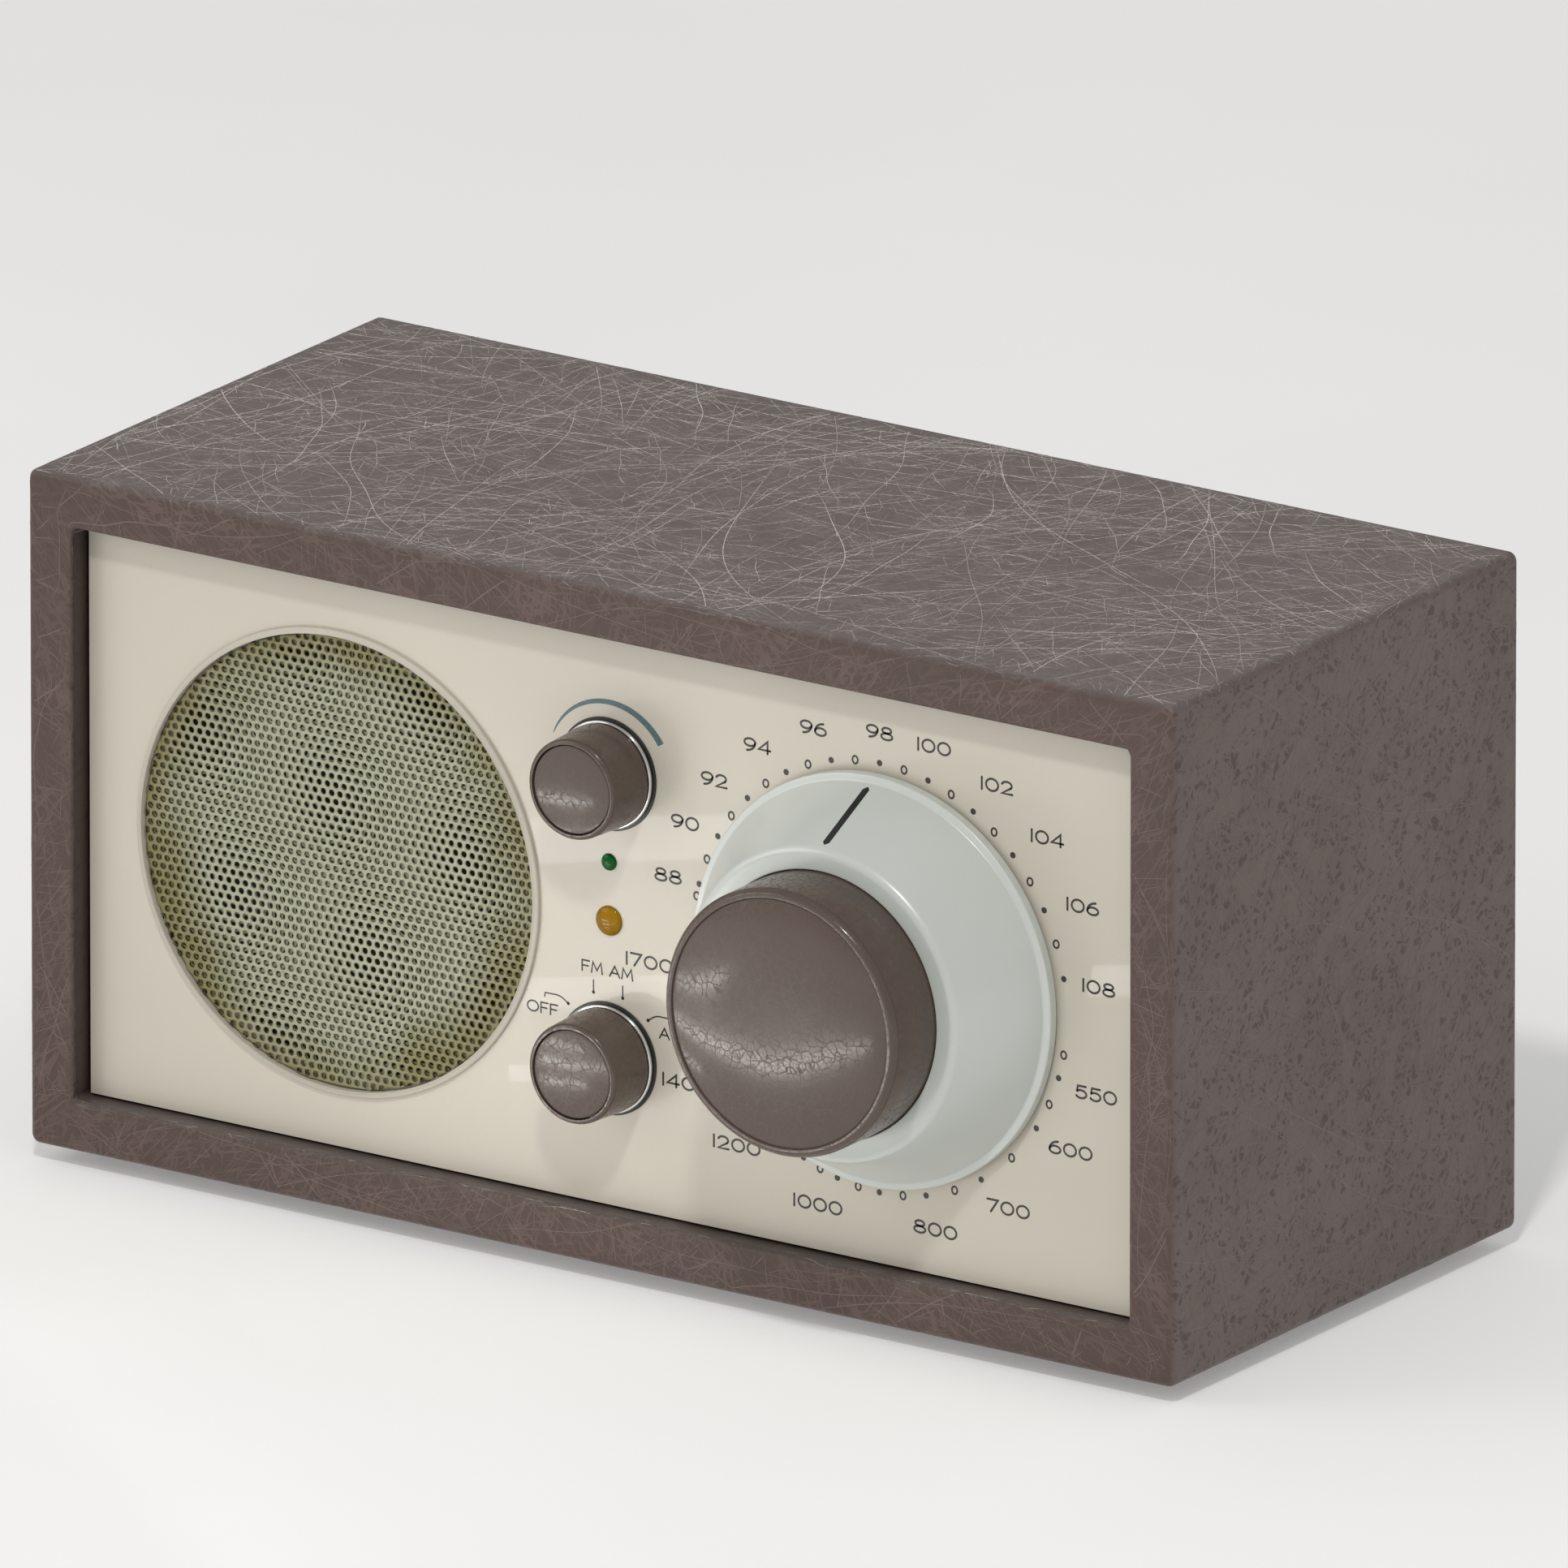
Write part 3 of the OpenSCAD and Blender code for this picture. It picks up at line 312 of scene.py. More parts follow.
class Nodes:
    """One material's node tree, with a short call for each kind of node used here."""

    def __init__(self, name: str) -> None:
        """Starts a material that has only its principled shader."""
        self.material = bpy.data.materials.new(name)
        self.material.use_nodes = True
        self.tree = self.material.node_tree
        self.shader = next(n for n in self.tree.nodes if n.type == "BSDF_PRINCIPLED")
        self.place = self.add("ShaderNodeTexCoord").outputs["Object"]

    def add(self, kind: str, **settings: object) -> bpy.types.Node:
        """Adds a node and sets its properties."""
        node = self.tree.nodes.new(kind)
        for key, value in settings.items():
            setattr(node, key, value)
        return node

    def feed(self, socket: Socket, value: object) -> None:
        """Links a socket to another one, or sets it to a constant."""
        if isinstance(value, Socket):
            self.tree.links.new(value, socket)
        elif isinstance(value, tuple) and len(value) == 3 and socket.type == "RGBA":
            socket.default_value = (*value, 1.0)
        else:
            socket.default_value = value

    def shade(self, **values: object) -> None:
        """Sets the principled shader's inputs, with underscores for the blanks in their names."""
        for key, value in values.items():
            self.feed(self.shader.inputs[key.replace("_", " ")], value)

    def noise(self, scale: float, detail: float = 3.0, rough: float = 0.5,
              vector: Socket | None = None, flat: bool = False) -> Socket:
        """Fractal noise between 0 and 1, with its scale in features per metre.

        Args:
            scale: features per unit of the vector.
            detail: octaves added.
            rough: strength of each further octave.
            vector: where it is read; the piece's own coordinates if left out.
            flat: reads only the first two coordinates.

        Returns:
            The noise value's socket.
        """
        node = self.add("ShaderNodeTexNoise", noise_dimensions="2D" if flat else "3D")
        self.feed(node.inputs["Vector"], vector or self.place)
        self.feed(node.inputs["Scale"], scale)
        self.feed(node.inputs["Detail"], detail)
        self.feed(node.inputs["Roughness"], rough)
        return node.outputs["Fac"]

    def cells(self, scale: float, vector: Socket) -> Socket:
        """Distance to the edge of a random cell, with the scale in cells per metre."""
        node = self.add("ShaderNodeTexVoronoi", feature="DISTANCE_TO_EDGE")
        self.feed(node.inputs["Vector"], vector)
        self.feed(node.inputs["Scale"], scale)
        return node.outputs["Distance"]

    def math(self, operation: str, a: object, b: object = 0.0, clamp: bool = False) -> Socket:
        """One arithmetic step on two values."""
        node = self.add("ShaderNodeMath", operation=operation, use_clamp=clamp)
        self.feed(node.inputs[0], a)
        self.feed(node.inputs[1], b)
        return node.outputs[0]

    def remap(self, value: Socket, low: float, high: float, to_low: float = 0.0,
              to_high: float = 1.0) -> Socket:
        """Carries a value's range onto another, clamped at both ends."""
        node = self.add("ShaderNodeMapRange", clamp=True)
        for name, number in (("From Min", low), ("From Max", high), ("To Min", to_low),
                             ("To Max", to_high)):
            node.inputs[name].default_value = number
        self.feed(node.inputs["Value"], value)
        return node.outputs["Result"]

    def blend(self, factor: object, a: object, b: object) -> Socket:
        """Mixes two colours, a at factor 0 and b at factor 1."""
        node = self.add("ShaderNodeMix", data_type="RGBA")
        self.feed(node.inputs[0], factor)
        self.feed(node.inputs[6], a)
        self.feed(node.inputs[7], b)
        return node.outputs[2]

    def spread(self, vector: Socket, scale: Triple, turn: float = 0.0,
               shift: Triple = (0.0, 0.0, 0.0)) -> Socket:
        """Shifts a vector, turns it by degrees round its third axis, and then stretches it."""
        turned = self.add("ShaderNodeMapping")
        self.feed(turned.inputs["Vector"], vector)
        turned.inputs["Location"].default_value = shift
        turned.inputs["Rotation"].default_value = (0.0, 0.0, math.radians(turn))
        stretched = self.add("ShaderNodeMapping")
        self.feed(stretched.inputs["Vector"], turned.outputs[0])
        stretched.inputs["Scale"].default_value = scale
        return stretched.outputs[0]

    def parts(self, vector: Socket) -> bpy.types.NodeOutputs:
        """A vector's three components."""
        node = self.add("ShaderNodeSeparateXYZ")
        self.feed(node.inputs[0], vector)
        return node.outputs

    def facing(self) -> tuple[Socket, Socket]:
        """How far the surface faces sideways, and how far up or down, from 0 to 1."""
        across, _, up = self.parts(self.add("ShaderNodeNewGeometry").outputs["Normal"])
        return self.math("ABSOLUTE", across), self.math("ABSOLUTE", up)

    def radius(self, x: float, z: float) -> Socket:
        """Distance in metres from the axis that runs front to back through (x, z)."""
        across, _, up = self.parts(self.place)
        dx, dz = self.math("SUBTRACT", across, x), self.math("SUBTRACT", up, z)
        return self.math("SQRT", self.math("ADD", self.math("MULTIPLY", dx, dx),
                                           self.math("MULTIPLY", dz, dz)))

    def warp(self, scale: float, push: float, detail: float = 2.0, flat: bool = False) -> Socket:
        """The place pushed about by noise.

        Args:
            scale: the noise's features per metre.
            push: the longest push in metres.
            detail: octaves added.
            flat: reads only the first two coordinates.

        Returns:
            The warped place's socket.
        """
        noise = self.add("ShaderNodeTexNoise", noise_dimensions="2D" if flat else "3D")
        for name, value in (("Vector", self.place), ("Scale", scale), ("Detail", detail)):
            self.feed(noise.inputs[name], value)
        step = self.add("ShaderNodeVectorMath", operation="SCALE")
        self.feed(step.inputs[0], noise.outputs["Color"])
        self.feed(step.inputs["Scale"], push)
        moved = self.add("ShaderNodeVectorMath", operation="ADD")
        self.feed(moved.inputs[0], self.place)
        self.feed(moved.inputs[1], step.outputs[0])
        return moved.outputs[0]

    def bump(self, height: Socket, depth_mm: float, under: Socket | None = None) -> Socket:
        """Relief from a height between 0 and 1, its depth in millimetres, on top of another."""
        node = self.add("ShaderNodeBump")
        node.inputs["Strength"].default_value = 1.0
        node.inputs["Distance"].default_value = depth_mm * MM
        self.feed(node.inputs["Height"], height)
        if under is not None:
            self.feed(node.inputs["Normal"], under)
        return node.outputs["Normal"]


@dataclass(frozen=True)
class Moulded:
    """Moulded or painted surface: a colour that drifts a little, fine grain and slight wear.

    Sizes are features per metre, and depths are in millimetres.
    """

    name: str
    colour: Colour
    drift: float = 0.06
    roughness: float = 0.45
    roughness_drift: float = 0.12
    grain: float = 2600.0
    grain_depth: float = 0.012
    metallic: float = 0.0
    coat: float = 0.0

    def make(self) -> Material:
        """Builds the material."""
        n = Nodes(self.name)
        cloud = n.noise(38.0, 4.0, 0.55)
        speck = n.noise(self.grain, 2.0, 0.6)
        colour = n.blend(n.remap(cloud, 0.3, 0.7), shaded(self.colour, 1 - self.drift),
                         shaded(self.colour, 1 + self.drift))
        fine = n.blend(n.remap(speck, 0.62, 0.8), colour, shaded(self.colour, 1 - 2 * self.drift))
        rub = n.remap(n.noise(170.0, 5.0, 0.65), 0.35, 0.75, self.roughness - self.roughness_drift,
                      self.roughness + self.roughness_drift)
        n.shade(Base_Color=fine, Roughness=rub, Metallic=self.metallic, Coat_Weight=self.coat,
                Normal=n.bump(speck, self.grain_depth))
        return n.material


@dataclass(frozen=True)
class Crackle:
    """Glossy moulding with a fine net of shallow creases that shows in its highlights."""

    name: str
    colour: Colour
    roughness: float = 0.13
    cell: float = 640.0
    depth: float = 0.0016
    finer: float = 1.9
    warp_scale: float = 900.0
    warp_push: float = 0.5

    def make(self) -> Material:
        """Builds the material from two nets of cell edges, a coarse one and a fine one."""
        n = Nodes(self.name)
        warped = n.warp(self.warp_scale, self.warp_push * MM)
        coarse = n.remap(n.cells(self.cell, warped), 0.0, 0.07)
        fine = n.remap(n.cells(self.cell * self.finer, warped), 0.0, 0.1)
        net = n.math("MULTIPLY", coarse, n.remap(fine, 0.0, 1.0, 0.6, 1.0))
        cloud = n.noise(90.0, 4.0, 0.6)
        base = n.blend(n.remap(cloud, 0.3, 0.7), shaded(self.colour, 0.94),
                       shaded(self.colour, 1.06))
        # Painted shade: the creases of the net are a tenth darker in colour.
        colour = n.blend(net, shaded(self.colour, 0.9), base)
        rough = n.remap(net, 0.0, 1.0, self.roughness + 0.4, self.roughness)
        relief = n.bump(net, self.depth, n.bump(n.noise(1300.0, 1.0), self.depth))
        n.shade(Base_Color=colour, Roughness=rough, Normal=relief, Specular_IOR_Level=0.45)
        return n.material


@dataclass(frozen=True)
class Metal:
    """Bare or plated metal with fine rubbed streaks and a drifting shine."""

    name: str
    colour: Colour
    roughness: float = 0.25
    streak: Triple = (900.0, 900.0, 900.0)
    depth: float = 0.004

    def make(self) -> Material:
        """Builds the material; the streaks run along the axis of least frequency."""
        n = Nodes(self.name)
        rub = n.noise(1.0, 4.0, 0.6, n.spread(n.place, self.streak))
        cloud = n.noise(120.0, 3.0)
        colour = n.blend(n.remap(rub, 0.3, 0.75), shaded(self.colour, 0.86), self.colour)
        rough = n.math("ADD", n.remap(rub, 0.2, 0.8, self.roughness * 0.7, self.roughness * 1.25),
                       n.remap(cloud, 0.35, 0.7, 0.0, 0.06))
        n.shade(Base_Color=colour, Roughness=rough, Metallic=1.0, Normal=n.bump(rub, self.depth))
        return n.material


@dataclass(frozen=True)
class DialPaint:
    """Pale satin lacquer over metal, with faint turning marks round the dial's axis."""

    name: str
    colour: Colour
    x: float
    z: float

    def make(self) -> Material:
        """Builds the material; the turning marks are noise read by the distance from the axis."""
        n = Nodes(self.name)
        where = n.add("ShaderNodeCombineXYZ")
        n.feed(where.inputs[0], n.radius(self.x, self.z))
        turning = n.noise(3200.0, 2.0, 0.6, where.outputs[0])
        cloud = n.noise(60.0, 4.0, 0.6)
        speck = n.noise(2400.0, 2.0, 0.5)
        colour = n.blend(n.remap(cloud, 0.3, 0.7), shaded(self.colour, 0.97), self.colour)
        rough = n.remap(n.noise(220.0, 3.0, 0.5), 0.3, 0.75, 0.29, 0.33)
        relief = n.bump(turning, 0.0004, n.bump(speck, 0.0004))
        n.shade(Base_Color=colour, Roughness=rough, Metallic=0.06, Normal=relief)
        n.shade(Coat_Weight=0.2, Coat_Roughness=0.1)
        return n.material


@dataclass(frozen=True)
class GrillePaint:
    """Greenish cream paint on the perforated sheet, blotched, and browner and darker towards its
    rim.
    """

    name: str
    middle: Colour
    rim: Colour
    x: float
    z: float
    radius: float

    def make(self) -> Material:
        """Builds the material; the two colours mix by the distance from the grille's axis."""
        n = Nodes(self.name)
        cloud = n.noise(55.0, 4.0, 0.6)
        ragged = n.math("ADD", n.radius(self.x, self.z), n.remap(cloud, 0.3, 0.7, -4 * MM, 4 * MM))
        edge = n.remap(ragged, self.radius * 0.72, self.radius)
        blotch = n.remap(n.noise(900.0, 3.0, 0.6), 0.45, 0.75)
        colour = n.blend(edge, self.middle, self.rim)
        colour = n.blend(n.math("MULTIPLY", blotch, 0.35), colour, shaded(self.rim, 0.6))
        rough = n.remap(cloud, 0.3, 0.7, 0.34, 0.5)
        n.shade(Base_Color=colour, Roughness=rough, Normal=n.bump(n.noise(2500.0, 2.0), 0.01))
        return n.material


@dataclass(frozen=True)
class LampPlastic:
    """Clear tinted plastic of an unlit lamp, darker in its depth and bright at its skin."""

    name: str
    colour: Colour
    deep: Colour

    def make(self) -> Material:
        """Builds the material: the tint deepens where the skin is seen edge on."""
        n = Nodes(self.name)
        facing = n.add("ShaderNodeLayerWeight")
        facing.inputs["Blend"].default_value = 0.35
        cloud = n.noise(700.0, 2.0)
        tint = n.blend(facing.outputs["Facing"], self.colour, self.deep)
        tint = n.blend(n.remap(cloud, 0.4, 0.7, 0.0, 0.3), tint, self.deep)
        n.shade(Base_Color=tint, Roughness=n.remap(cloud, 0.3, 0.7, 0.08, 0.16),
                Specular_IOR_Level=0.2,
                Normal=n.bump(n.noise(500.0, 2.0), 0.01))
        return n.material


@dataclass(frozen=True)
class Ink:
    """Screen-printed ink: dense, with slightly ragged cover and a soft sheen."""

    name: str
    colour: Colour

    def make(self) -> Material:
        """Builds the material."""
        n = Nodes(self.name)
        cover = n.remap(n.noise(5200.0, 3.0, 0.6), 0.3, 0.75)
        thin = tuple(min(1.0, c * 1.9 + 0.01) for c in self.colour)
        n.shade(Base_Color=n.blend(cover, self.colour, thin),
                Roughness=n.remap(cover, 0.0, 1.0, 0.35, 0.55), Normal=n.bump(cover, 0.004))
        return n.material


@dataclass(frozen=True)
class Grained:
    """Wood, board, cloth or pulp: two colours along stretched noise, with relief."""

    name: str
    dark: Colour
    light: Colour
    stretch: Triple
    roughness: float = 0.7
    depth: float = 0.05

    def make(self) -> Material:
        """Builds the material; the grain runs along the axis of least frequency."""
        n = Nodes(self.name)
        grain = n.noise(1.0, 6.0, 0.62, n.spread(n.place, self.stretch))
        fibre = n.noise(3.0, 4.0, 0.6, n.spread(n.place, self.stretch))
        colour = n.blend(n.remap(grain, 0.3, 0.7), self.dark, self.light)
        colour = n.blend(n.remap(fibre, 0.58, 0.8, 0.0, 0.5), colour, self.dark)
        n.shade(Base_Color=colour,
                Roughness=n.remap(fibre, 0.3, 0.7, self.roughness - 0.08, self.roughness + 0.1),
                Normal=n.bump(grain, self.depth))
        return n.material


@dataclass(frozen=True)
class Covering:
    """Leather-look covering: a brown ground under a paler film of crossed fibres.

    The pattern is read from the covering's own map, in metres round and along the
    case, so that it runs over the edges without a break. The film lies thin on the
    front and the back, and thick on the sides, where it leaves only small pits. The top is paler
    and greyer, as painted sheen of the light from above.
    """

    name: str
    ground: Colour
    front_film: Colour
    film: Colour
    pit: Colour
    # the top face's colour, paler and greyer as painted sheen of the light from above
    top: Colour
    reveal: float = 0.0075

    def make(self) -> Material:
        """Builds the material.

        Fibres are ridges of noise stretched in several directions, and the film is
        the strongest of them at each point.

        Returns:
            The material.
        """
        n = Nodes(self.name)
        n.place = n.add("ShaderNodeUVMap", uv_map="UVMap").outputs["UV"]
        warped = n.warp(260.0, 1.6 * MM, 1.0, flat=True)

        def strands(turns: tuple[float, ...], across: float, along: float, cut: float,
                    soft: float) -> Socket:
            """The strongest of several sets of straight strands, each set in its own direction."""
            best = None
            for i, turn in enumerate(turns):
                where = n.spread(warped, (across, along, 1.0), turn, (0.013 * i, 0.031 * i, 0.0))
                thread = n.remap(n.noise(1.0, 0.0, 0.5, where, flat=True), cut, cut + soft)
                best = thread if best is None else n.math("MAXIMUM", best, thread)
            return best

        side, up = (n.math("POWER", part, 2.0) for part in n.facing())
        film = strands((4.0, 49.0, 98.0, 143.0), 1050.0, 260.0, 0.525, 0.08)
        thin = strands((12.0, 76.0, 131.0), 1500.0, 170.0, 0.6, 0.09)
        streak = strands((91.0,), 3300.0, 260.0, 0.45, 0.25)
        cloud = n.remap(n.noise(30.0, 3.0, 0.6, flat=True), 0.32, 0.68)
        patchy = n.remap(n.noise(110.0, 2.0, 0.6, flat=True), 0.35, 0.65, 0.25, 1.0)
        ground = n.blend(n.math("MULTIPLY", cloud, 0.6), self.ground, self.pit)
        on_front = n.blend(n.math("MULTIPLY", thin, patchy), ground, self.front_film)
        whole = n.remap(n.noise(150.0, 2.0, 0.6, flat=True), 0.53, 0.6)
        depth = n.math("MAXIMUM", n.math("MULTIPLY", film, n.remap(cloud, 0.0, 1.0, 1.0, 0.8)),
                       whole)
        on_side = n.blend(depth, self.pit, self.film)
        # Painted sheen: the top face takes its own paler, greyer colour and brighter fine strands,
        # for the light from above, over the fibre pattern.
        top_with_sheen = n.blend(n.math("MULTIPLY", streak, patchy), self.top, shaded(self.top, 1.28))
        top_with_sheen = n.blend(n.math("MULTIPLY", n.math("MULTIPLY", thin, patchy), 0.35), top_with_sheen,
                         shaded(self.top, 2.0))
        colour = n.blend(up, n.blend(side, on_front, on_side), top_with_sheen)
        # Inside the reveal of the front opening the colour is darkened towards a deep brown, less
        # where the reveal faces up or down.
        inside = n.math("MULTIPLY",
                        n.remap(n.parts(n.place)[1], self.reveal - 0.8 * MM, self.reveal + 0.2 * MM,
                                0.8, 0.0),
                        n.remap(up, 0.0, 1.0, 1.0, 0.45))
        colour = n.blend(inside, colour, shaded(self.ground, 0.35))
        pores = n.noise(1500.0, 1.0, 0.5, flat=True)
        rough = n.remap(cloud, 0.0, 1.0, 0.42, 0.52)
        n.shade(Base_Color=colour, Roughness=rough, Normal=n.bump(pores, 0.02),
                Specular_IOR_Level=0.32)
        return n.material


@dataclass(frozen=True)
class Strand:
    """The raised strands on the covering: palest on top, as painted highlight, faint on the front
    and the sides.
    """

    name: str
    # the top colour, near white, is the strands' painted highlight
    top: Colour
    front: Colour
    side: Colour

    def make(self) -> Material:
        """Builds the material; each strand's own strength pales it, and breaks it into beads."""
        n = Nodes(self.name)
        strength = n.add("ShaderNodeAttribute", attribute_name="strength").outputs["Fac"]
        side, up = (n.remap(part, 0.45, 0.8) for part in n.facing())
        bead = n.remap(n.noise(2100.0, 2.0, 0.6), 0.37, 0.58, 0.22, 1.0)
        factor = n.math("MULTIPLY", strength, bead, clamp=True)
        # Where the strands face up they take the top colour: painted highlight.
        dim = n.blend(side, self.front, self.side)
        low = n.blend(up, dim, shaded(self.top, 0.25))
        high = n.blend(side, n.blend(up, self.front, self.top), self.side)
        n.shade(Base_Color=n.blend(factor, low, high), Roughness=n.remap(bead, 0.3, 1.0, 0.5, 0.36),
                Normal=n.bump(bead, 0.01))
        return n.material


# ------------------------------------------------------------------ case ----

@dataclass(frozen=True)
class StrandSet:
    """One set of raised strands: how many, and the ranges that their sizes are drawn from.

    The bend is the largest turn over a whole strand, in radians, and the width is
    half a strand's width in millimetres, as the length is in millimetres.
    """

    name: str
    count: int
    length: Point
    bend: float
    steps: int
    width: Point
    strength: Point


STRAND_SETS = (
    StrandSet("long_strands", 620, (28.0, 110.0), 1.2, 28, (0.08, 0.15), (0.35, 1.0)),
    StrandSet("middle_strands", 1500, (9.0, 34.0), 0.4, 12, (0.06, 0.11), (0.15, 0.9)),
    StrandSet("short_strands", 9500, (1.8, 8.0), 0.25, 6, (0.05, 0.11), (0.1, 0.9)),
)


@dataclass
class Case:
    """The covered cabinet: one skin wrapped round the boards, and its pressed-in strands.

    The skin is a surface of two distances: along the outline, clockwise from the
    top left corner, and along the profile, from the front seam round the front rim,
    over the side and round the back rim to the back seam.
    """

    rim: float = 8.4
    corner: float = 1.4
    outer_round: float = 1.3
    inner_round: float = 0.7
    sink: float = 0.04
    thickness: float = 0.6
    port: float = 10.0
    port_margin: float = 3.0
    spacing: float = 7.0
    hem: float = 0.35
    bend_steps: int = 7
    edge_taper: float = 0.05
    seed: int = 12
    line: Array = field(init=False, repr=False)
    along: Array = field(init=False, repr=False)
    reveal_end: float = field(init=False)

    def __post_init__(self) -> None:
        """Measures the cabinet and lays out the profile, in millimetres from its front."""
        low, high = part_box("leather_cover")
        self.low, self.high = np.array(low) / MM, np.array(high) / MM
        self.width, self.depth, self.height = self.high - self.low
        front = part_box("front_panel")[1].y / MM - self.low[1]
        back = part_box("back_panel")[0].y / MM - self.low[1]
        s, r = self.sink, self.rim
        self.reveal_end = front - self.inner_round
        self.line = rounded_line([
            (r, front, 0), (r, s, self.inner_round), (s, s, self.outer_round),
            (s, self.depth - s, self.outer_round), (r, self.depth - s, self.inner_round),
            (r, back, 0)],
            self.bend_steps)
        steps = np.linalg.norm(np.diff(self.line, axis=0), axis=1)
        self.along = np.concatenate([[0], np.cumsum(steps)])
        arc = self.corner * math.pi / 2
        sides = [self.width - 2 * self.corner, arc, self.height - 2 * self.corner, arc] * 2
        self.stops = np.concatenate([[0], np.cumsum(sides)])

    def surface(self, around: Array, along: Array, proud: Array | float = 0.0) -> Array:
        """Points of the skin in metres, from two distances and a height above it in millimetres.

        A point lies on the rounded outline that belongs to its inset. The outline's
        corner centre and the direction out of it are linear between the outline's stops.

        Args:
            around: distance along the outline.
            along: distance along the profile.
            proud: height above the skin.

        Returns:
            Points, with one more axis than the distances.
        """
        around = np.mod(around, self.stops[-1])
        cx = np.interp(around, self.stops, [-1, 1, 1, 1, 1, -1, -1, -1, -1])
        cz = np.interp(around, self.stops, [1, 1, 1, -1, -1, -1, -1, 1, 1])
        turn = np.radians(np.interp(around, self.stops, [90, 90, 0, 0, -90, -90, -180, -180, -270]))
        slope = np.gradient(self.line, self.along, axis=0)
        inset = np.interp(along, self.along, self.line[:, 0])
        back = np.interp(along, self.along, self.line[:, 1])
        d_in = np.interp(along, self.along, slope[:, 0])
        d_back = np.interp(along, self.along, slope[:, 1])
        norm = np.hypot(d_in, d_back)
        inset = inset - proud * d_back / norm
        back = back + proud * d_in / norm
        radius = self.corner - self.edge_taper * inset
        x = cx * (self.width / 2 - inset - radius) + radius * np.cos(turn)
        z = cz * (self.height / 2 - inset - radius) + radius * np.sin(turn)
        middle = (self.low + self.high) / 2
        return np.stack([x + middle[0], self.low[1] + back, z + middle[2]], axis=-1) * MM

    def build_skin(self) -> Piece:
        """The skin: a closed band with rows near every bend, and a hole under the port."""
        bends = self.along[np.append(np.abs(np.diff(self.line, axis=0)).max(1) < 3, False)]
        spots = np.arange(0, self.along[-1], self.spacing)
        rows = np.unique(np.round(np.concatenate([
            self.along, bends, self.along[1:-1] + self.hem, self.along[1:-1] - self.hem, spots]),
            3))
        rows = rows[np.concatenate([[True], np.diff(rows) > 0.02])]
        columns = []
        for start, end in zip(self.stops[:-1], self.stops[1:]):
            if end - start < 4:
                columns.append(np.linspace(start, end, self.bend_steps)[:-1])
            else:
                inner = np.linspace(start + 2, end - 2, int((end - start) / self.spacing))
                columns.append(np.concatenate([[start, start + self.hem], inner, [end - self.hem]]))
        columns = np.concatenate(columns)
        t, s = np.meshgrid(rows, columns, indexing="ij")
        points = self.surface(s, t).reshape(-1, 3)
        quads = grid_quads(len(rows), len(columns), close_columns=True)
        port_low, port_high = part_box("bass_port")
        port_x, port_y = (port_low.x + port_high.x) / 2, (port_low.y + port_high.y) / 2
        middles = points[quads].mean(axis=1)
        reach = (self.port + self.port_margin) * MM
        under = ((np.abs(middles[:, 0] - port_x) < reach) & (np.abs(middles[:, 1] - port_y) < reach)
                 & (middles[:, 2] < self.low[2] * MM + MM))
        patch = self.port_patch(points, quads[under], port_x, port_y)
        circle, ring, border = patch
        piece = make_piece("covering", np.concatenate([points, circle]), [quads[~under], ring],
                           sharp=60)
        uv = np.stack([s, t], axis=-1).reshape(-1, 2) * MM
        set_uv(piece, np.concatenate([uv, uv[border]]))
        self.turn_out(piece)
        skin = piece.modifiers.new("thickness", "SOLIDIFY")
        skin.thickness, skin.offset = self.thickness * MM, -1.0
        return install(piece, "cabinet", ("leather_cover",))

    def turn_out(self, piece: Piece) -> None:
        """Turns the skin's faces away from the cabinet's middle."""
        mesh = piece.data
        centres = face_values(mesh, "center") - (self.low + self.high) / 2 * MM
        if (face_values(mesh, "normal") * centres).sum() < 0:
            mesh.flip_normals()

    def port_patch(self, points: Array, cut: Array, port_x: float,
                   port_y: float) -> tuple[Array, Array, Array]:
        """Fills the gap between a rectangular hole in the grid and the port's round edge.

        Each border vertex of the hole is joined to the point of the circle that lies
        in the same direction from the port's axis.

        Args:
            points: the grid's points.
            cut: the quads that were taken out.
            port_x: the port's axis.
            port_y: the port's axis.

        Returns:
            The circle's points, the quads between, and the border's vertex numbers.
        """
        edges = np.concatenate([cut[:, [i, (i + 1) % 4]] for i in range(4)])
        keys = np.sort(edges, axis=1)
        _, index, count = np.unique(keys, axis=0, return_index=True, return_counts=True)
        border = edges[index[count == 1]]
        vertices = np.unique(border)
        spots = points[vertices]
        angle = np.arctan2(spots[:, 1] - port_y, spots[:, 0] - port_x)
        circle = np.stack([port_x + self.port * MM * np.cos(angle),
                           port_y + self.port * MM * np.sin(angle),
                           spots[:, 2]], axis=1)
        place = np.full(len(points), -1)
        place[vertices] = len(points) + np.arange(len(vertices))
        quads = np.stack([border[:, 0], border[:, 1], place[border[:, 1]], place[border[:, 0]]],
                         axis=1)
        return circle, quads, vertices

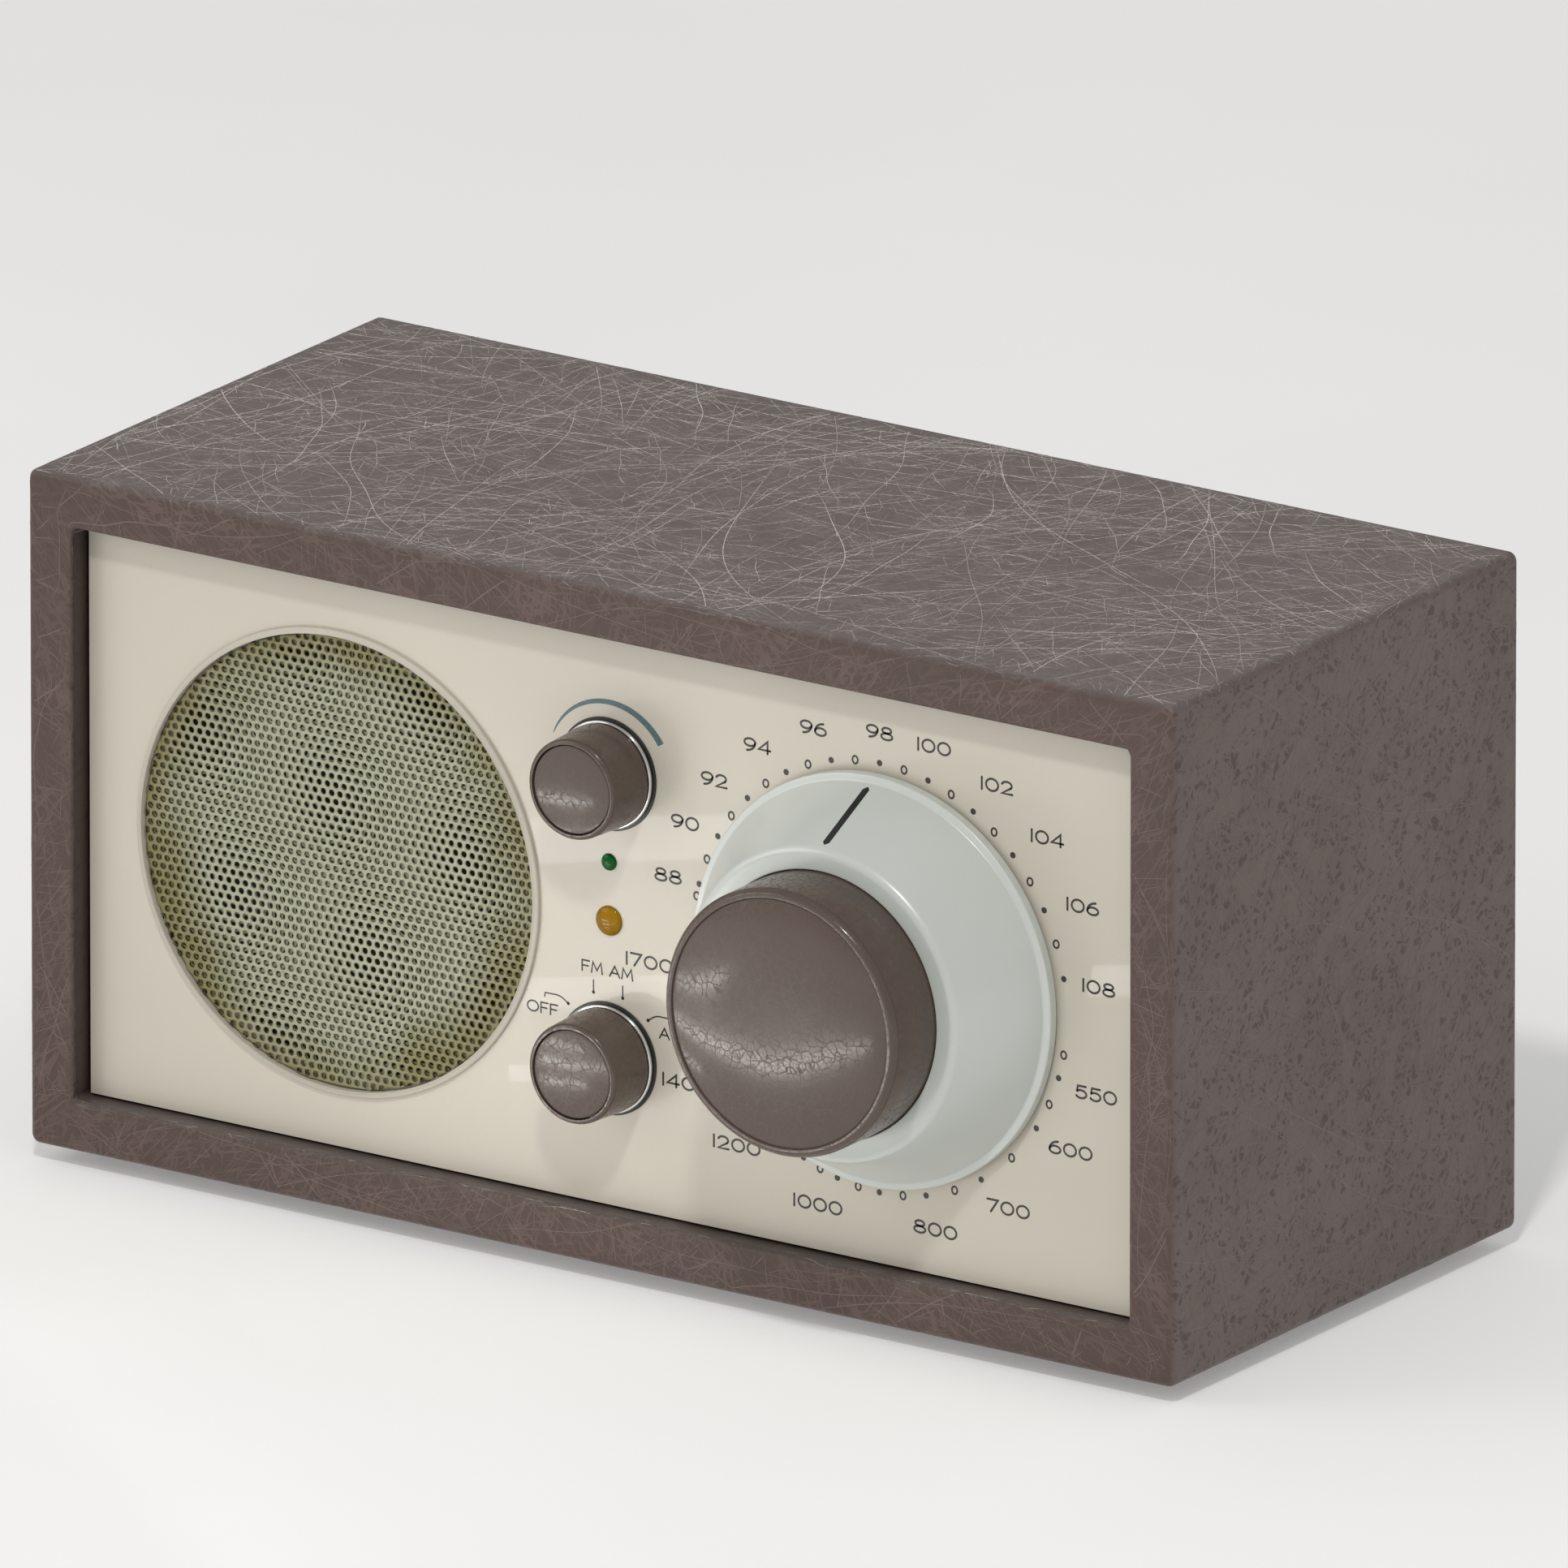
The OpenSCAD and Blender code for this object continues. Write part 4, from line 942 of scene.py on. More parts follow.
    def strand_paths(self, rng: np.random.Generator, kind: StrandSet) -> tuple[Array, Array]:
        """Random gently curved paths on the skin.

        A path starts anywhere, in any direction, and turns evenly, so that it is an
        arc of a circle, with a little waviness on top.

        Args:
            rng: the random source.
            kind: the set's sizes.

        Returns:
            Distances (around, along) as a (count, steps, 2) array, and the directions.
        """
        count, steps = kind.count, kind.steps
        centre = np.stack([rng.uniform(0, self.stops[-1], count),
                           rng.uniform(4, self.along[-1] - 4, count)], axis=1)
        size = rng.uniform(*kind.length, count)[:, None]
        turn = rng.uniform(-kind.bend, kind.bend, count)[:, None]
        heading = rng.uniform(0, 2 * math.pi, count)[:, None]
        t = np.linspace(-0.5, 0.5, steps)[None]
        wave = 0.12 * np.sin(t * rng.uniform(8, 22, (count, 1)) + rng.uniform(0, 6, (count, 1)))
        angle = heading + turn * t + wave * rng.uniform(0.2, 1.0, (count, 1))
        step = size / (steps - 1)
        walk = np.cumsum(np.stack([np.cos(angle), np.sin(angle)], axis=-1) * step[..., None],
                         axis=1)
        path = walk - walk[:, steps // 2:steps // 2 + 1] + centre[:, None]
        return path, angle

    def ribbons(self, path: Array, angle: Array, width: Array,
                strength: Array) -> tuple[Array, Array, Array]:
        """Roof-shaped ribbons along paths, thinning to both ends.

        Args:
            path: (count, steps, 2) distances.
            angle: the paths' directions.
            width: each ribbon's half width in millimetres.
            strength: each ribbon's strength.

        Returns:
            Points, quads and the strength of each point.
        """
        count, steps = angle.shape
        taper = np.sin(np.linspace(0.05, math.pi - 0.05, steps))[None] ** 0.5
        across = np.stack([-np.sin(angle), np.cos(angle)], axis=-1)
        offset = np.array([-1.0, 0.0, 1.0])[None, None, :, None]
        half = (width[:, None] * taper)[:, :, None, None]
        spread = path[:, :, None] + across[:, :, None] * offset * half
        rise = np.array([-0.03, self.sink * 0.9, -0.03])[None, None]
        rise = np.broadcast_to(rise, spread.shape[:3])
        along = np.clip(spread[..., 1], self.reveal_end, self.along[-1] - 0.5)
        points = self.surface(spread[..., 0], along, rise).reshape(-1, 3)
        one = grid_quads(steps, 3)
        quads = (one[None] + (np.arange(count) * steps * 3)[:, None, None]).reshape(-1, 4)
        value = np.broadcast_to((strength[:, None] * taper)[:, :, None], spread.shape[:3])
        return points, quads, value.reshape(-1)

    def build_strands(self) -> list[Piece]:
        """The long, middle and short strands, each set as one piece."""
        rng = np.random.default_rng(self.seed)
        pieces = []
        for kind in STRAND_SETS:
            path, angle = self.strand_paths(rng, kind)
            width, strength = (rng.uniform(*ends, kind.count)
                               for ends in (kind.width, kind.strength))
            points, quads, value = self.ribbons(path, angle, width, strength)
            piece = make_piece(kind.name, points, [quads], sharp=180)
            self.turn_out(piece)
            set_value(piece, "strength", value)
            pieces.append(install(piece, "cabinet"))
        return pieces

    def build(self) -> None:
        """Builds the skin and its strands, and paints them and the boards under them."""
        skin = self.build_skin()
        # The last colour is the top face's, paler and greyer as painted sheen of the light from
        # above.
        paint(skin, Covering("covering", (0.088, 0.054, 0.044), (0.122, 0.084, 0.069),
                             (0.148, 0.116, 0.104),
                             (0.082, 0.06, 0.055), (0.138, 0.114, 0.107)))
        # The strands' first colour, near white, is their painted highlight on the top face.
        strand = Strand("strand", (0.95, 0.86, 0.82), (0.158, 0.115, 0.096),
                        (0.162, 0.13, 0.117)).make()
        for piece in self.build_strands():
            piece.data.materials.append(strand)


# ------------------------------------------------------- front, speaker -----

@dataclass
class Grille:
    """The loudspeaker's front: a perforated sheet, a darker one behind it as its painted shadow,
    and the trim ring.
    """

    pitch: float = 1.58
    row: float = 1.39
    hole: float = 0.56
    sheet: float = 0.3
    gap: float = 0.12
    coarser: float = 1.062
    shadow_sheet_turn: float = 0.9
    sides: int = 12
    axis: Axis = field(init=False)

    def __post_init__(self) -> None:
        """Finds the axis and the radius."""
        self.axis = axis_of("grille")
        self.radius = radius_of("grille")

    def sheet_of_holes(self, name: str, radius: float, out: float, turn: float, hole: float,
                       pitch: float, row: float, shift: Point = (0.0, 0.0)) -> Piece:
        """A round sheet with a hole in each tile of a brick pattern.

        Each tile is a hexagon-like block with six border points, two of them in the
        middle of its long sides, so that neighbouring rows share their points. The
        border joins the hole's polygon. Tiles that cross the edge keep no hole and
        have their points drawn in to the edge.

        Args:
            name: the piece's name.
            radius: the sheet's radius in millimetres.
            out: distance from the panel's face.
            turn: angle of the rows in degrees.
            hole: radius of a hole.
            pitch: spacing of the holes in a row.
            row: spacing of the rows.
            shift: how far the pattern is shifted, in pitches and rows.

        Returns:
            The sheet.
        """
        count = int(radius / row) + 2
        i, j = (a.ravel() for a in np.meshgrid(np.arange(-count, count + 1),
                                               np.arange(-count, count + 1)))
        centre = np.stack([(i + 0.5 * (j % 2) + shift[0]) * pitch, (j + shift[1]) * row], axis=1)
        far = np.hypot(centre[:, 0], centre[:, 1])
        centre, far = centre[far < radius + pitch * 0.8], far[far < radius + pitch * 0.8]
        border = np.array([(-0.5, -0.5), (0, -0.5), (0.5, -0.5), (0.5, 0.5), (0, 0.5),
                           (-0.5, 0.5)]) * (pitch, row)
        corner_angle = np.arctan2(border[:, 1], border[:, 0])
        angle = np.arange(self.sides) / self.sides * 2 * math.pi + corner_angle[0]
        ring = np.stack([np.cos(angle), np.sin(angle)], axis=1) * hole
        holed = far < radius + 0.2
        tiles = centre[:, None] + border[None]
        rings = centre[holed][:, None] + ring[None]
        points = np.concatenate([tiles.reshape(-1, 2), rings.reshape(-1, 2)])
        first = len(centre) * 6
        nearest = np.argmin(np.abs(np.angle(np.exp(1j * (angle[:, None] - corner_angle[None])))),
                            axis=1)
        faces = []
        number = np.flatnonzero(holed)[:, None] * 6
        own = first + np.arange(holed.sum())[:, None] * self.sides
        for k in range(self.sides):
            after = (k + 1) % self.sides
            b0, b1 = nearest[k], nearest[after]
            here = np.concatenate([number + b0, own + after, own + k], axis=1)
            faces.append(here)
            if b0 != b1:
                faces.append(np.concatenate([number + b0, number + b1, own + after], axis=1))
        blank = np.flatnonzero(~holed)[:, None] * 6
        faces += [np.concatenate([blank + a, blank + b, blank + c], axis=1)
                  for a, b, c in ((0, 1, 5), (1, 4, 5), (1, 2, 4), (2, 3, 4))]
        length = np.hypot(points[:, 0], points[:, 1])
        points *= np.minimum(1.0, radius / np.maximum(length, 1e-9))[:, None]
        c, s = math.cos(math.radians(turn)), math.sin(math.radians(turn))
        x, z = points[:, 0] * c - points[:, 1] * s, points[:, 0] * s + points[:, 1] * c
        placed = np.stack([self.axis.x + x * MM, np.full(len(x), self.axis.y - out * MM),
                           self.axis.z + z * MM], axis=1)
        keys, back = np.unique(np.round(placed, 6), axis=0, return_inverse=True)
        back = back.ravel()
        triangles = back[np.concatenate(faces)]
        a, b, d = (keys[triangles[:, k]] for k in range(3))
        solid = np.linalg.norm(np.cross(b - a, d - a), axis=1) > 1e-10
        piece = make_piece(name, keys, [triangles[solid]])
        if face_values(piece.data, "normal")[:, 1].sum() > 0:
            piece.data.flip_normals()
        plate = piece.modifiers.new("thickness", "SOLIDIFY")
        plate.thickness, plate.offset = self.sheet * MM, -1.0
        return piece

    def build(self) -> None:
        """Builds both sheets and the ring."""
        front = self.sheet_of_holes("grille_sheet", self.radius - 0.05, front_of("grille"), 0.0,
                                    self.hole,
                                    self.pitch, self.row)
        install(front, "cabinet", ("grille",))
        paint(front, GrillePaint("grille_paint", (0.39, 0.4, 0.285), (0.22, 0.2, 0.08),
                                 self.axis.x, self.axis.z, self.radius * MM))
        # Painted shadow and reflection: the darker second sheet stands for the front sheet's shadow
        # and reflection on the cone behind, and their moiré.
        inner = self.sheet_of_holes("grille_shadow_sheet", self.radius - 0.05,
                                    front_of("grille") - self.sheet - self.gap,
                                    self.shadow_sheet_turn, self.hole, self.pitch * self.coarser,
                                    self.row * self.coarser, (0.5, 0.45))
        install(inner, "cabinet", ("grille",))
        paint(inner, GrillePaint("grille_shadow_paint", (0.27, 0.28, 0.2), (0.13, 0.12, 0.05),
                                 self.axis.x, self.axis.z, self.radius * MM))
        r0, r1, out = self.radius + 0.25, radius_of("grille_ring"), front_of("grille_ring")
        back = front_of("grille") - 0.7
        profile = rounded_line([(r0, back, 0), (r0, out, 0.3), (r0 + 0.35, out - 0.25, 0.15),
                                (r1, out - 0.4, 0.3),
                                (r1, back, 0)], 5)
        turn_piece("trim_ring", self.axis, np.vstack([profile, profile[:1]]), 128, "cabinet",
                   Moulded("trim_cream", (0.54, 0.505, 0.425), roughness=0.42).make(),
                   ("grille_ring",))


# ----------------------------------------------------------------- knobs ----

@dataclass
class SmallKnob:
    """A small push-on knob: its body, the domed cap in its front, a bright ring, and a black disc
    behind the ring, painted shadow of the recess there.
    """

    name: str
    body: str
    groove: float = 0.18
    round_front: float = 0.8
    dome: float = 0.5
    recess_shade: float = 0.42
    ring_width: float = 2.4
    segments: int = 112

    def build(self, skin: Material, chrome: Material, dark: Material) -> None:
        """Builds the four turned pieces.

        Args:
            skin: the knob's moulding.
            chrome: the ring's plating.
            dark: the black of the disc behind the ring, painted shadow of the recess.
        """
        node = f"{self.name}_knob"
        axis, wide, front, back = turned_sizes(node)
        cap, cap_front = radius_of(f"{node}_cap"), front_of(f"{node}_cap")
        narrow = wide - 0.4
        deep = front - 1.4
        profile = rounded_line([
            (0, back, 0), (wide - 0.3, back, 0.3), (wide, back + 0.4, 0.3),
            (narrow, front, self.round_front),
            (cap + 0.05, front, 0.25), (cap, deep, 0.1), (0, deep, 0)], 6)
        turn_piece(f"{node}_body", axis, profile, self.segments, self.body, skin,
                   (node,))
        edge = cap - self.groove
        across = np.linspace(0, 1, 14)
        top = np.stack([edge * across, cap_front - 0.02 - self.dome * across ** 2], axis=1)[::-1]
        lid_profile = np.vstack([[(0, deep + 0.02), (edge - 0.02, deep + 0.02)],
                                 rounded_line([(edge, deep + 0.1, 0), (edge, top[0, 1], 0.25),
                                               tuple(top[1]) + (0,)], 5),
                                 top[2:]])
        turn_piece(f"{node}_lid", axis, lid_profile, self.segments, self.body, skin,
                   (f"{node}_cap",))
        self.build_ring(axis, chrome, dark)

    def build_ring(self, axis: Axis, chrome: Material, dark: Material) -> None:
        """The bright ring behind the knob, and the dark disc between it and the panel, painted
        shadow of the recess round the ring.
        """
        node = f"{self.name}_knob_ring"
        _, outer, front, back = turned_sizes(node)
        inner = outer - self.ring_width
        outer -= 0.12
        profile = rounded_line([(inner, back, 0), (outer, back, 0.2), (outer, front, 0.3),
                                (inner, front, 0.1),
                                (inner, back, 0)], 5)
        turn_piece(f"{node}_plated", axis, profile, self.segments, self.body, chrome,
                   (node,))
        # Painted shadow: a thin disc in the place of a washer, painted black as the shadow of the
        # recess round the ring.
        profile = rounded_line([(inner, 0.0, 0), (outer + self.recess_shade, 0.0, 0.1),
                                (outer + self.recess_shade, back - 0.08, 0.1),
                                (inner, back - 0.08, 0), (inner, 0.0, 0)], 3)
        turn_piece(f"{self.name}_collar", axis, profile, 96, "cabinet", dark)


@dataclass
class TuningDial:
    """The large cone-shaped dial, its pointer, and the tuning knob in its middle."""

    dish: float = 22.0
    flange: float = 1.2
    edge: float = 2.3
    ridge: float = 25.4
    depth: float = 3.5
    pointer: tuple[float, float] = (26.1, 32.3)
    pointer_wide: float = 1.2
    pointer_rows: int = 25
    segments: int = 192

    def build(self, skin: Material) -> None:
        """Builds the dial, the pointer and the knob.

        Args:
            skin: the knob's moulding.
        """
        axis, wide, front, back = turned_sizes("tuning_dial")
        floor, edge = front - self.depth, self.edge
        profile = rounded_line([
            (self.dish - 6, floor - 1.5, 0), (wide - 1.5, back, 0.2), (wide, back, 0.15),
            (wide, edge, 0.3),
            (wide - self.flange, edge + 0.15, 0.25), (self.ridge, front, 1.1),
            (self.dish, front, 0.3),
            (self.dish, floor, 0.3), (self.dish - 6, floor, 0.2), (self.dish - 6, floor - 1.5, 0)],
            9)
        turn_piece("dial_cone", axis, profile, self.segments, "dial",
                   DialPaint("dial_silver", (0.63, 0.665, 0.63), axis.x, axis.z).make(),
                   ("tuning_dial",))
        self.build_pointer(axis, profile)
        self.build_knob(skin)

    def build_pointer(self, axis: Axis, profile: Array) -> None:
        """The pointer: a painted bar that lies on the cone, with rounded ends."""
        slope = profile[(profile[:, 0] > self.dish + 1) & (profile[:, 1] > self.edge)]
        order = np.argsort(slope[:, 0])
        along = np.linspace(0, 1, self.pointer_rows)
        radius = self.pointer[0] + (self.pointer[1] - self.pointer[0]) * along
        end = np.minimum(along, 1 - along) * (self.pointer[1] - self.pointer[0]) / 0.2
        half = self.pointer_wide / 2 * np.sqrt(np.clip(1 - (1 - np.clip(end, 0, 1)) ** 2, 0.02, 1))
        out = np.interp(radius, slope[order, 0], slope[order, 1])
        across = np.array([-1.0, -1.0, -0.5, 0.5, 1.0, 1.0])[None]
        lift = np.array([-0.2, 0.02, 0.05, 0.05, 0.02, -0.2])[None]
        x = half[:, None] * across
        points = np.stack([axis.x + x * MM, axis.y - (out[:, None] + lift) * MM,
                           axis.z + np.broadcast_to(radius[:, None], x.shape) * MM],
                           axis=-1).reshape(-1, 3)
        ends = np.array([[0, 1, 2, 3], [0, 3, 4, 5]])
        rows, columns = x.shape
        faces = [grid_quads(rows, columns, close_columns=True), ends,
                 ends[:, ::-1] + (rows - 1) * columns]
        bar = install(face_outwards(make_piece("dial_pointer_bar", points, faces)),
                      "dial", ("dial_pointer",))
        paint(bar, Moulded("pointer_black", (0.02, 0.02, 0.02), roughness=0.35))

    def build_knob(self, skin: Material) -> None:
        """The tuning knob: a drum with a rounded shoulder and a slightly domed face."""
        axis, wide, front, back = turned_sizes("tuning_knob")
        shoulder, seam, drop = front - 1.0, wide - 1.5, 1.3
        across = np.linspace(1, 0, 22)
        face = np.stack([(seam - 0.2) * across, front - drop * across ** 4], axis=1)
        drum = rounded_line([(0, back, 0), (wide - 0.4, back, 0.3), (wide, back + 0.5, 0.3),
                             (wide, shoulder - 0.9, 0.5),
                             (wide - 0.7, shoulder, 0.4), (seam, shoulder - 0.05, 0.12),
                             (seam - 0.1, front - drop - 0.12, 0.05), tuple(face[0]) + (0.05,),
                             tuple(face[1]) + (0,)], 6)
        turn_piece("tuning_drum", axis, np.vstack([drum, face[2:]]), self.segments, "tuner_knob",
                   skin, ("tuning_knob",))


@dataclass
class Lamp:
    """A small round lamp let into the panel."""

    node: str
    finish: LampPlastic
    slot: str
    barrel: float = 0.12
    fit: float = 0.02

    def build(self) -> None:
        """Builds the dome: a quarter ellipse of revolution on a short barrel."""
        axis, wide, out, back = turned_sizes(self.node)
        angle = np.linspace(0, math.pi / 2, 14)
        wide -= self.fit
        dome = np.stack([wide * np.cos(angle), self.barrel + (out - self.barrel) * np.sin(angle)],
                        axis=1)
        dome[-1, 0] = 0.0
        profile = np.vstack([[(0, back), (wide, back)], dome])
        turn_piece(f"{self.node}_lens", axis, profile, 64, "cabinet", self.finish.make(),
                   (self.node,))


# ------------------------------------------------------- printed markings ---

class Stroke(Enum):
    """Kinds of stroke that a character is made of."""

    LINE = "line"
    ARC = "arc"


@dataclass(frozen=True)
class Glyph:
    """A character as strokes in a box one unit high.

    A line is (x, y) points. An arc is (centre x, centre y, radius x, radius y,
    start, end), its angles in degrees from the right, anticlockwise.
    """

    width: float
    strokes: tuple[tuple[Stroke, tuple[float, ...]], ...]

    def lines(self) -> list[Array]:
        """The strokes as polylines."""
        out = []
        for kind, numbers in self.strokes:
            if kind is Stroke.LINE:
                out.append(np.array(numbers, float).reshape(-1, 2))
            else:
                cx, cy, rx, ry, start, end = numbers
                angle = np.radians(np.linspace(start, end, max(6, int(abs(end - start) / 14))))
                out.append(np.stack([cx + rx * np.cos(angle), cy + ry * np.sin(angle)], axis=1))
        return out


LINE, ARC = Stroke.LINE, Stroke.ARC
GLYPHS = {
    "0": Glyph(0.98, ((ARC, (0.49, 0.5, 0.49, 0.5, 0, 360)),)),
    "1": Glyph(0.12, ((LINE, (0.06, 0, 0.06, 1)),)),
    "2": Glyph(0.86, ((ARC, (0.42, 0.7, 0.4, 0.3, 165, -40)),
                      (LINE, (0.73, 0.5, 0.02, 0, 0.86, 0)))),
    "4": Glyph(0.94, ((LINE, (0.72, 0, 0.72, 1, 0.0, 0.27, 0.94, 0.27)),)),
    "5": Glyph(0.86, ((LINE, (0.8, 1, 0.16, 1, 0.1, 0.58)),
                      (ARC, (0.42, 0.33, 0.43, 0.33, 138, -150)))),
    "6": Glyph(0.88, ((ARC, (0.44, 0.31, 0.44, 0.31, 0, 360)),
                      (ARC, (0.72, 0.31, 0.72, 0.69, 180, 94)))),
    "7": Glyph(0.84, ((LINE, (0.0, 1, 0.84, 1, 0.28, 0)),)),
    "8": Glyph(0.9, ((ARC, (0.45, 0.77, 0.36, 0.23, 0, 360)),
                     (ARC, (0.45, 0.27, 0.45, 0.27, 0, 360)))),
    "9": Glyph(0.88, ((ARC, (0.44, 0.69, 0.44, 0.31, 0, 360)),
                      (ARC, (0.16, 0.69, 0.72, 0.69, 0, -86)))),
    "A": Glyph(0.92, ((LINE, (0, 0, 0.46, 1, 0.92, 0)), (LINE, (0.17, 0.34, 0.75, 0.34)))),
    "F": Glyph(0.66, ((LINE, (0, 0, 0, 1, 0.66, 1)), (LINE, (0, 0.52, 0.56, 0.52)))),
    "M": Glyph(0.98, ((LINE, (0, 0, 0.12, 1, 0.49, 0.25, 0.86, 1, 0.98, 0)),)),
    "O": Glyph(1.02, ((ARC, (0.51, 0.5, 0.51, 0.5, 0, 360)),)),
    "U": Glyph(0.76, ((LINE, (0, 1, 0, 0.36)), (ARC, (0.38, 0.36, 0.38, 0.36, 180, 360)),
                      (LINE, (0.76, 0.36, 0.76, 1)))),
    "X": Glyph(0.8, ((LINE, (0, 0, 0.8, 1)), (LINE, (0, 1, 0.8, 0)))),
}


def unit_rows(vectors: Array) -> Array:
    """Each row of an array, scaled to length 1."""
    return vectors / np.maximum(np.linalg.norm(vectors, axis=1, keepdims=True), 1e-12)


@dataclass
class Print:
    """Collects ribbons and dots in the plane of the panel, and makes one printed piece of them."""

    name: str
    ink: Ink
    y: float
    proud: float = 0.012
    spread: float = 1.18
    parts: list[Part] = field(default_factory=list)

    def to_panel(self, flat: Array) -> Array:
        """Points (x, z) in metres as points just in front of the panel."""
        return np.stack([flat[:, 0], np.full(len(flat), self.y - self.proud * MM), flat[:, 1]],
                        axis=1)

    def fan(self, border: Array) -> None:
        """Adds a filled shape from its border, given in order, in metres."""
        count = len(border)
        points = self.to_panel(np.vstack([border, border.mean(axis=0)]))
        here = np.arange(count)
        self.parts.append((points,
                           [np.stack([here, (here + 1) % count, np.full(count, count)], axis=1)]))

    def dot(self, x: float, z: float, radius: float) -> None:
        """Adds a filled round dot; x and z in metres and the radius in millimetres."""
        angle = np.linspace(0, 2 * math.pi, 20, endpoint=False)
        self.fan(np.stack([x + radius * MM * np.cos(angle), z + radius * MM * np.sin(angle)],
                          axis=1))

    def ribbon(self, line: Array, width: float | Array, closed: bool = False) -> None:
        """Adds a line of even or changing width with round ends.

        Args:
            line: (n, 2) points in metres.
            width: its width in millimetres, one number or one for each point.
            closed: joins the end to the start.
        """
        width = np.broadcast_to(np.asarray(width, float), (len(line),))
        if closed:
            ahead, behind = np.roll(line, -1, axis=0), np.roll(line, 1, axis=0)
        else:
            ahead, behind = np.vstack([line[1:], line[-1:]]), np.vstack([line[:1], line[:-1]])
        a, b = unit_rows(line - behind), unit_rows(ahead - line)
        if not closed:
            a[0], b[-1] = b[0], a[-1]
        middle = unit_rows(a + b)
        normal = np.stack([-middle[:, 1], middle[:, 0]], axis=1)
        stretch = 1 / np.maximum(np.abs((middle * a).sum(axis=1)), 0.45)
        half = normal * (width * stretch)[:, None] * MM / 2
        points = np.stack([line + half, line - half], axis=1).reshape(-1, 2)
        self.parts.append((self.to_panel(points), [grid_quads(len(line), 2, close_rows=closed)]))
        if not closed:
            self.dot(*line[0], width[0] / 2)
            self.dot(*line[-1], width[-1] / 2)

    def text(self, word: str, x: float, z: float, height: float, stroke: float,
             gap: float = 0.28) -> None:
        """Adds a word centred on a point.

        Args:
            word: the characters.
            x: centre across, in metres.
            z: centre up, in metres.
            height: height of a character in millimetres.
            stroke: line width in millimetres.
            gap: space between characters, as a share of the height.
        """
        glyphs = [GLYPHS[c] for c in word]
        total = sum(g.width for g in glyphs) + gap * (len(glyphs) - 1)
        start = -total / 2
        tall = np.array([(height - stroke) * self.spread, height - stroke])
        for glyph in glyphs:
            for line in glyph.lines():
                closed = len(line) > 5 and np.allclose(line[0], line[-1], atol=1e-6)
                flat = (line + (start, -0.5)) * tall * MM + (x, z)
                self.ribbon(flat[:-1] if closed else flat, stroke, closed)
            start += glyph.width + gap

    def build(self) -> Piece:
        """Makes the printed piece, facing forward."""
        piece = make_piece(self.name, *join_parts(self.parts))
        mesh = piece.data
        turned = face_values(mesh, "normal")[:, 1] > 0
        if turned.any():
            self.turn_faces(mesh, turned)
        paint(piece, self.ink)
        return install(piece, "cabinet")

    @staticmethod
    def turn_faces(mesh: bpy.types.Mesh, turned: Array) -> None:
        """Reverses the corner order of the chosen faces."""
        corners = np.empty(len(mesh.loops), np.int32)
        mesh.loops.foreach_get("vertex_index", corners)
        starts = np.empty(len(mesh.polygons), np.int32)
        sizes = np.empty(len(mesh.polygons), np.int32)
        mesh.polygons.foreach_get("loop_start", starts)
        mesh.polygons.foreach_get("loop_total", sizes)
        for size in np.unique(sizes):
            first = starts[turned & (sizes == size)][:, None]
            order = np.arange(size)[None]
            corners[first + order] = corners[first + size - 1 - order]
        mesh.loops.foreach_set("vertex_index", corners)
        mesh.update(calc_edges=True)


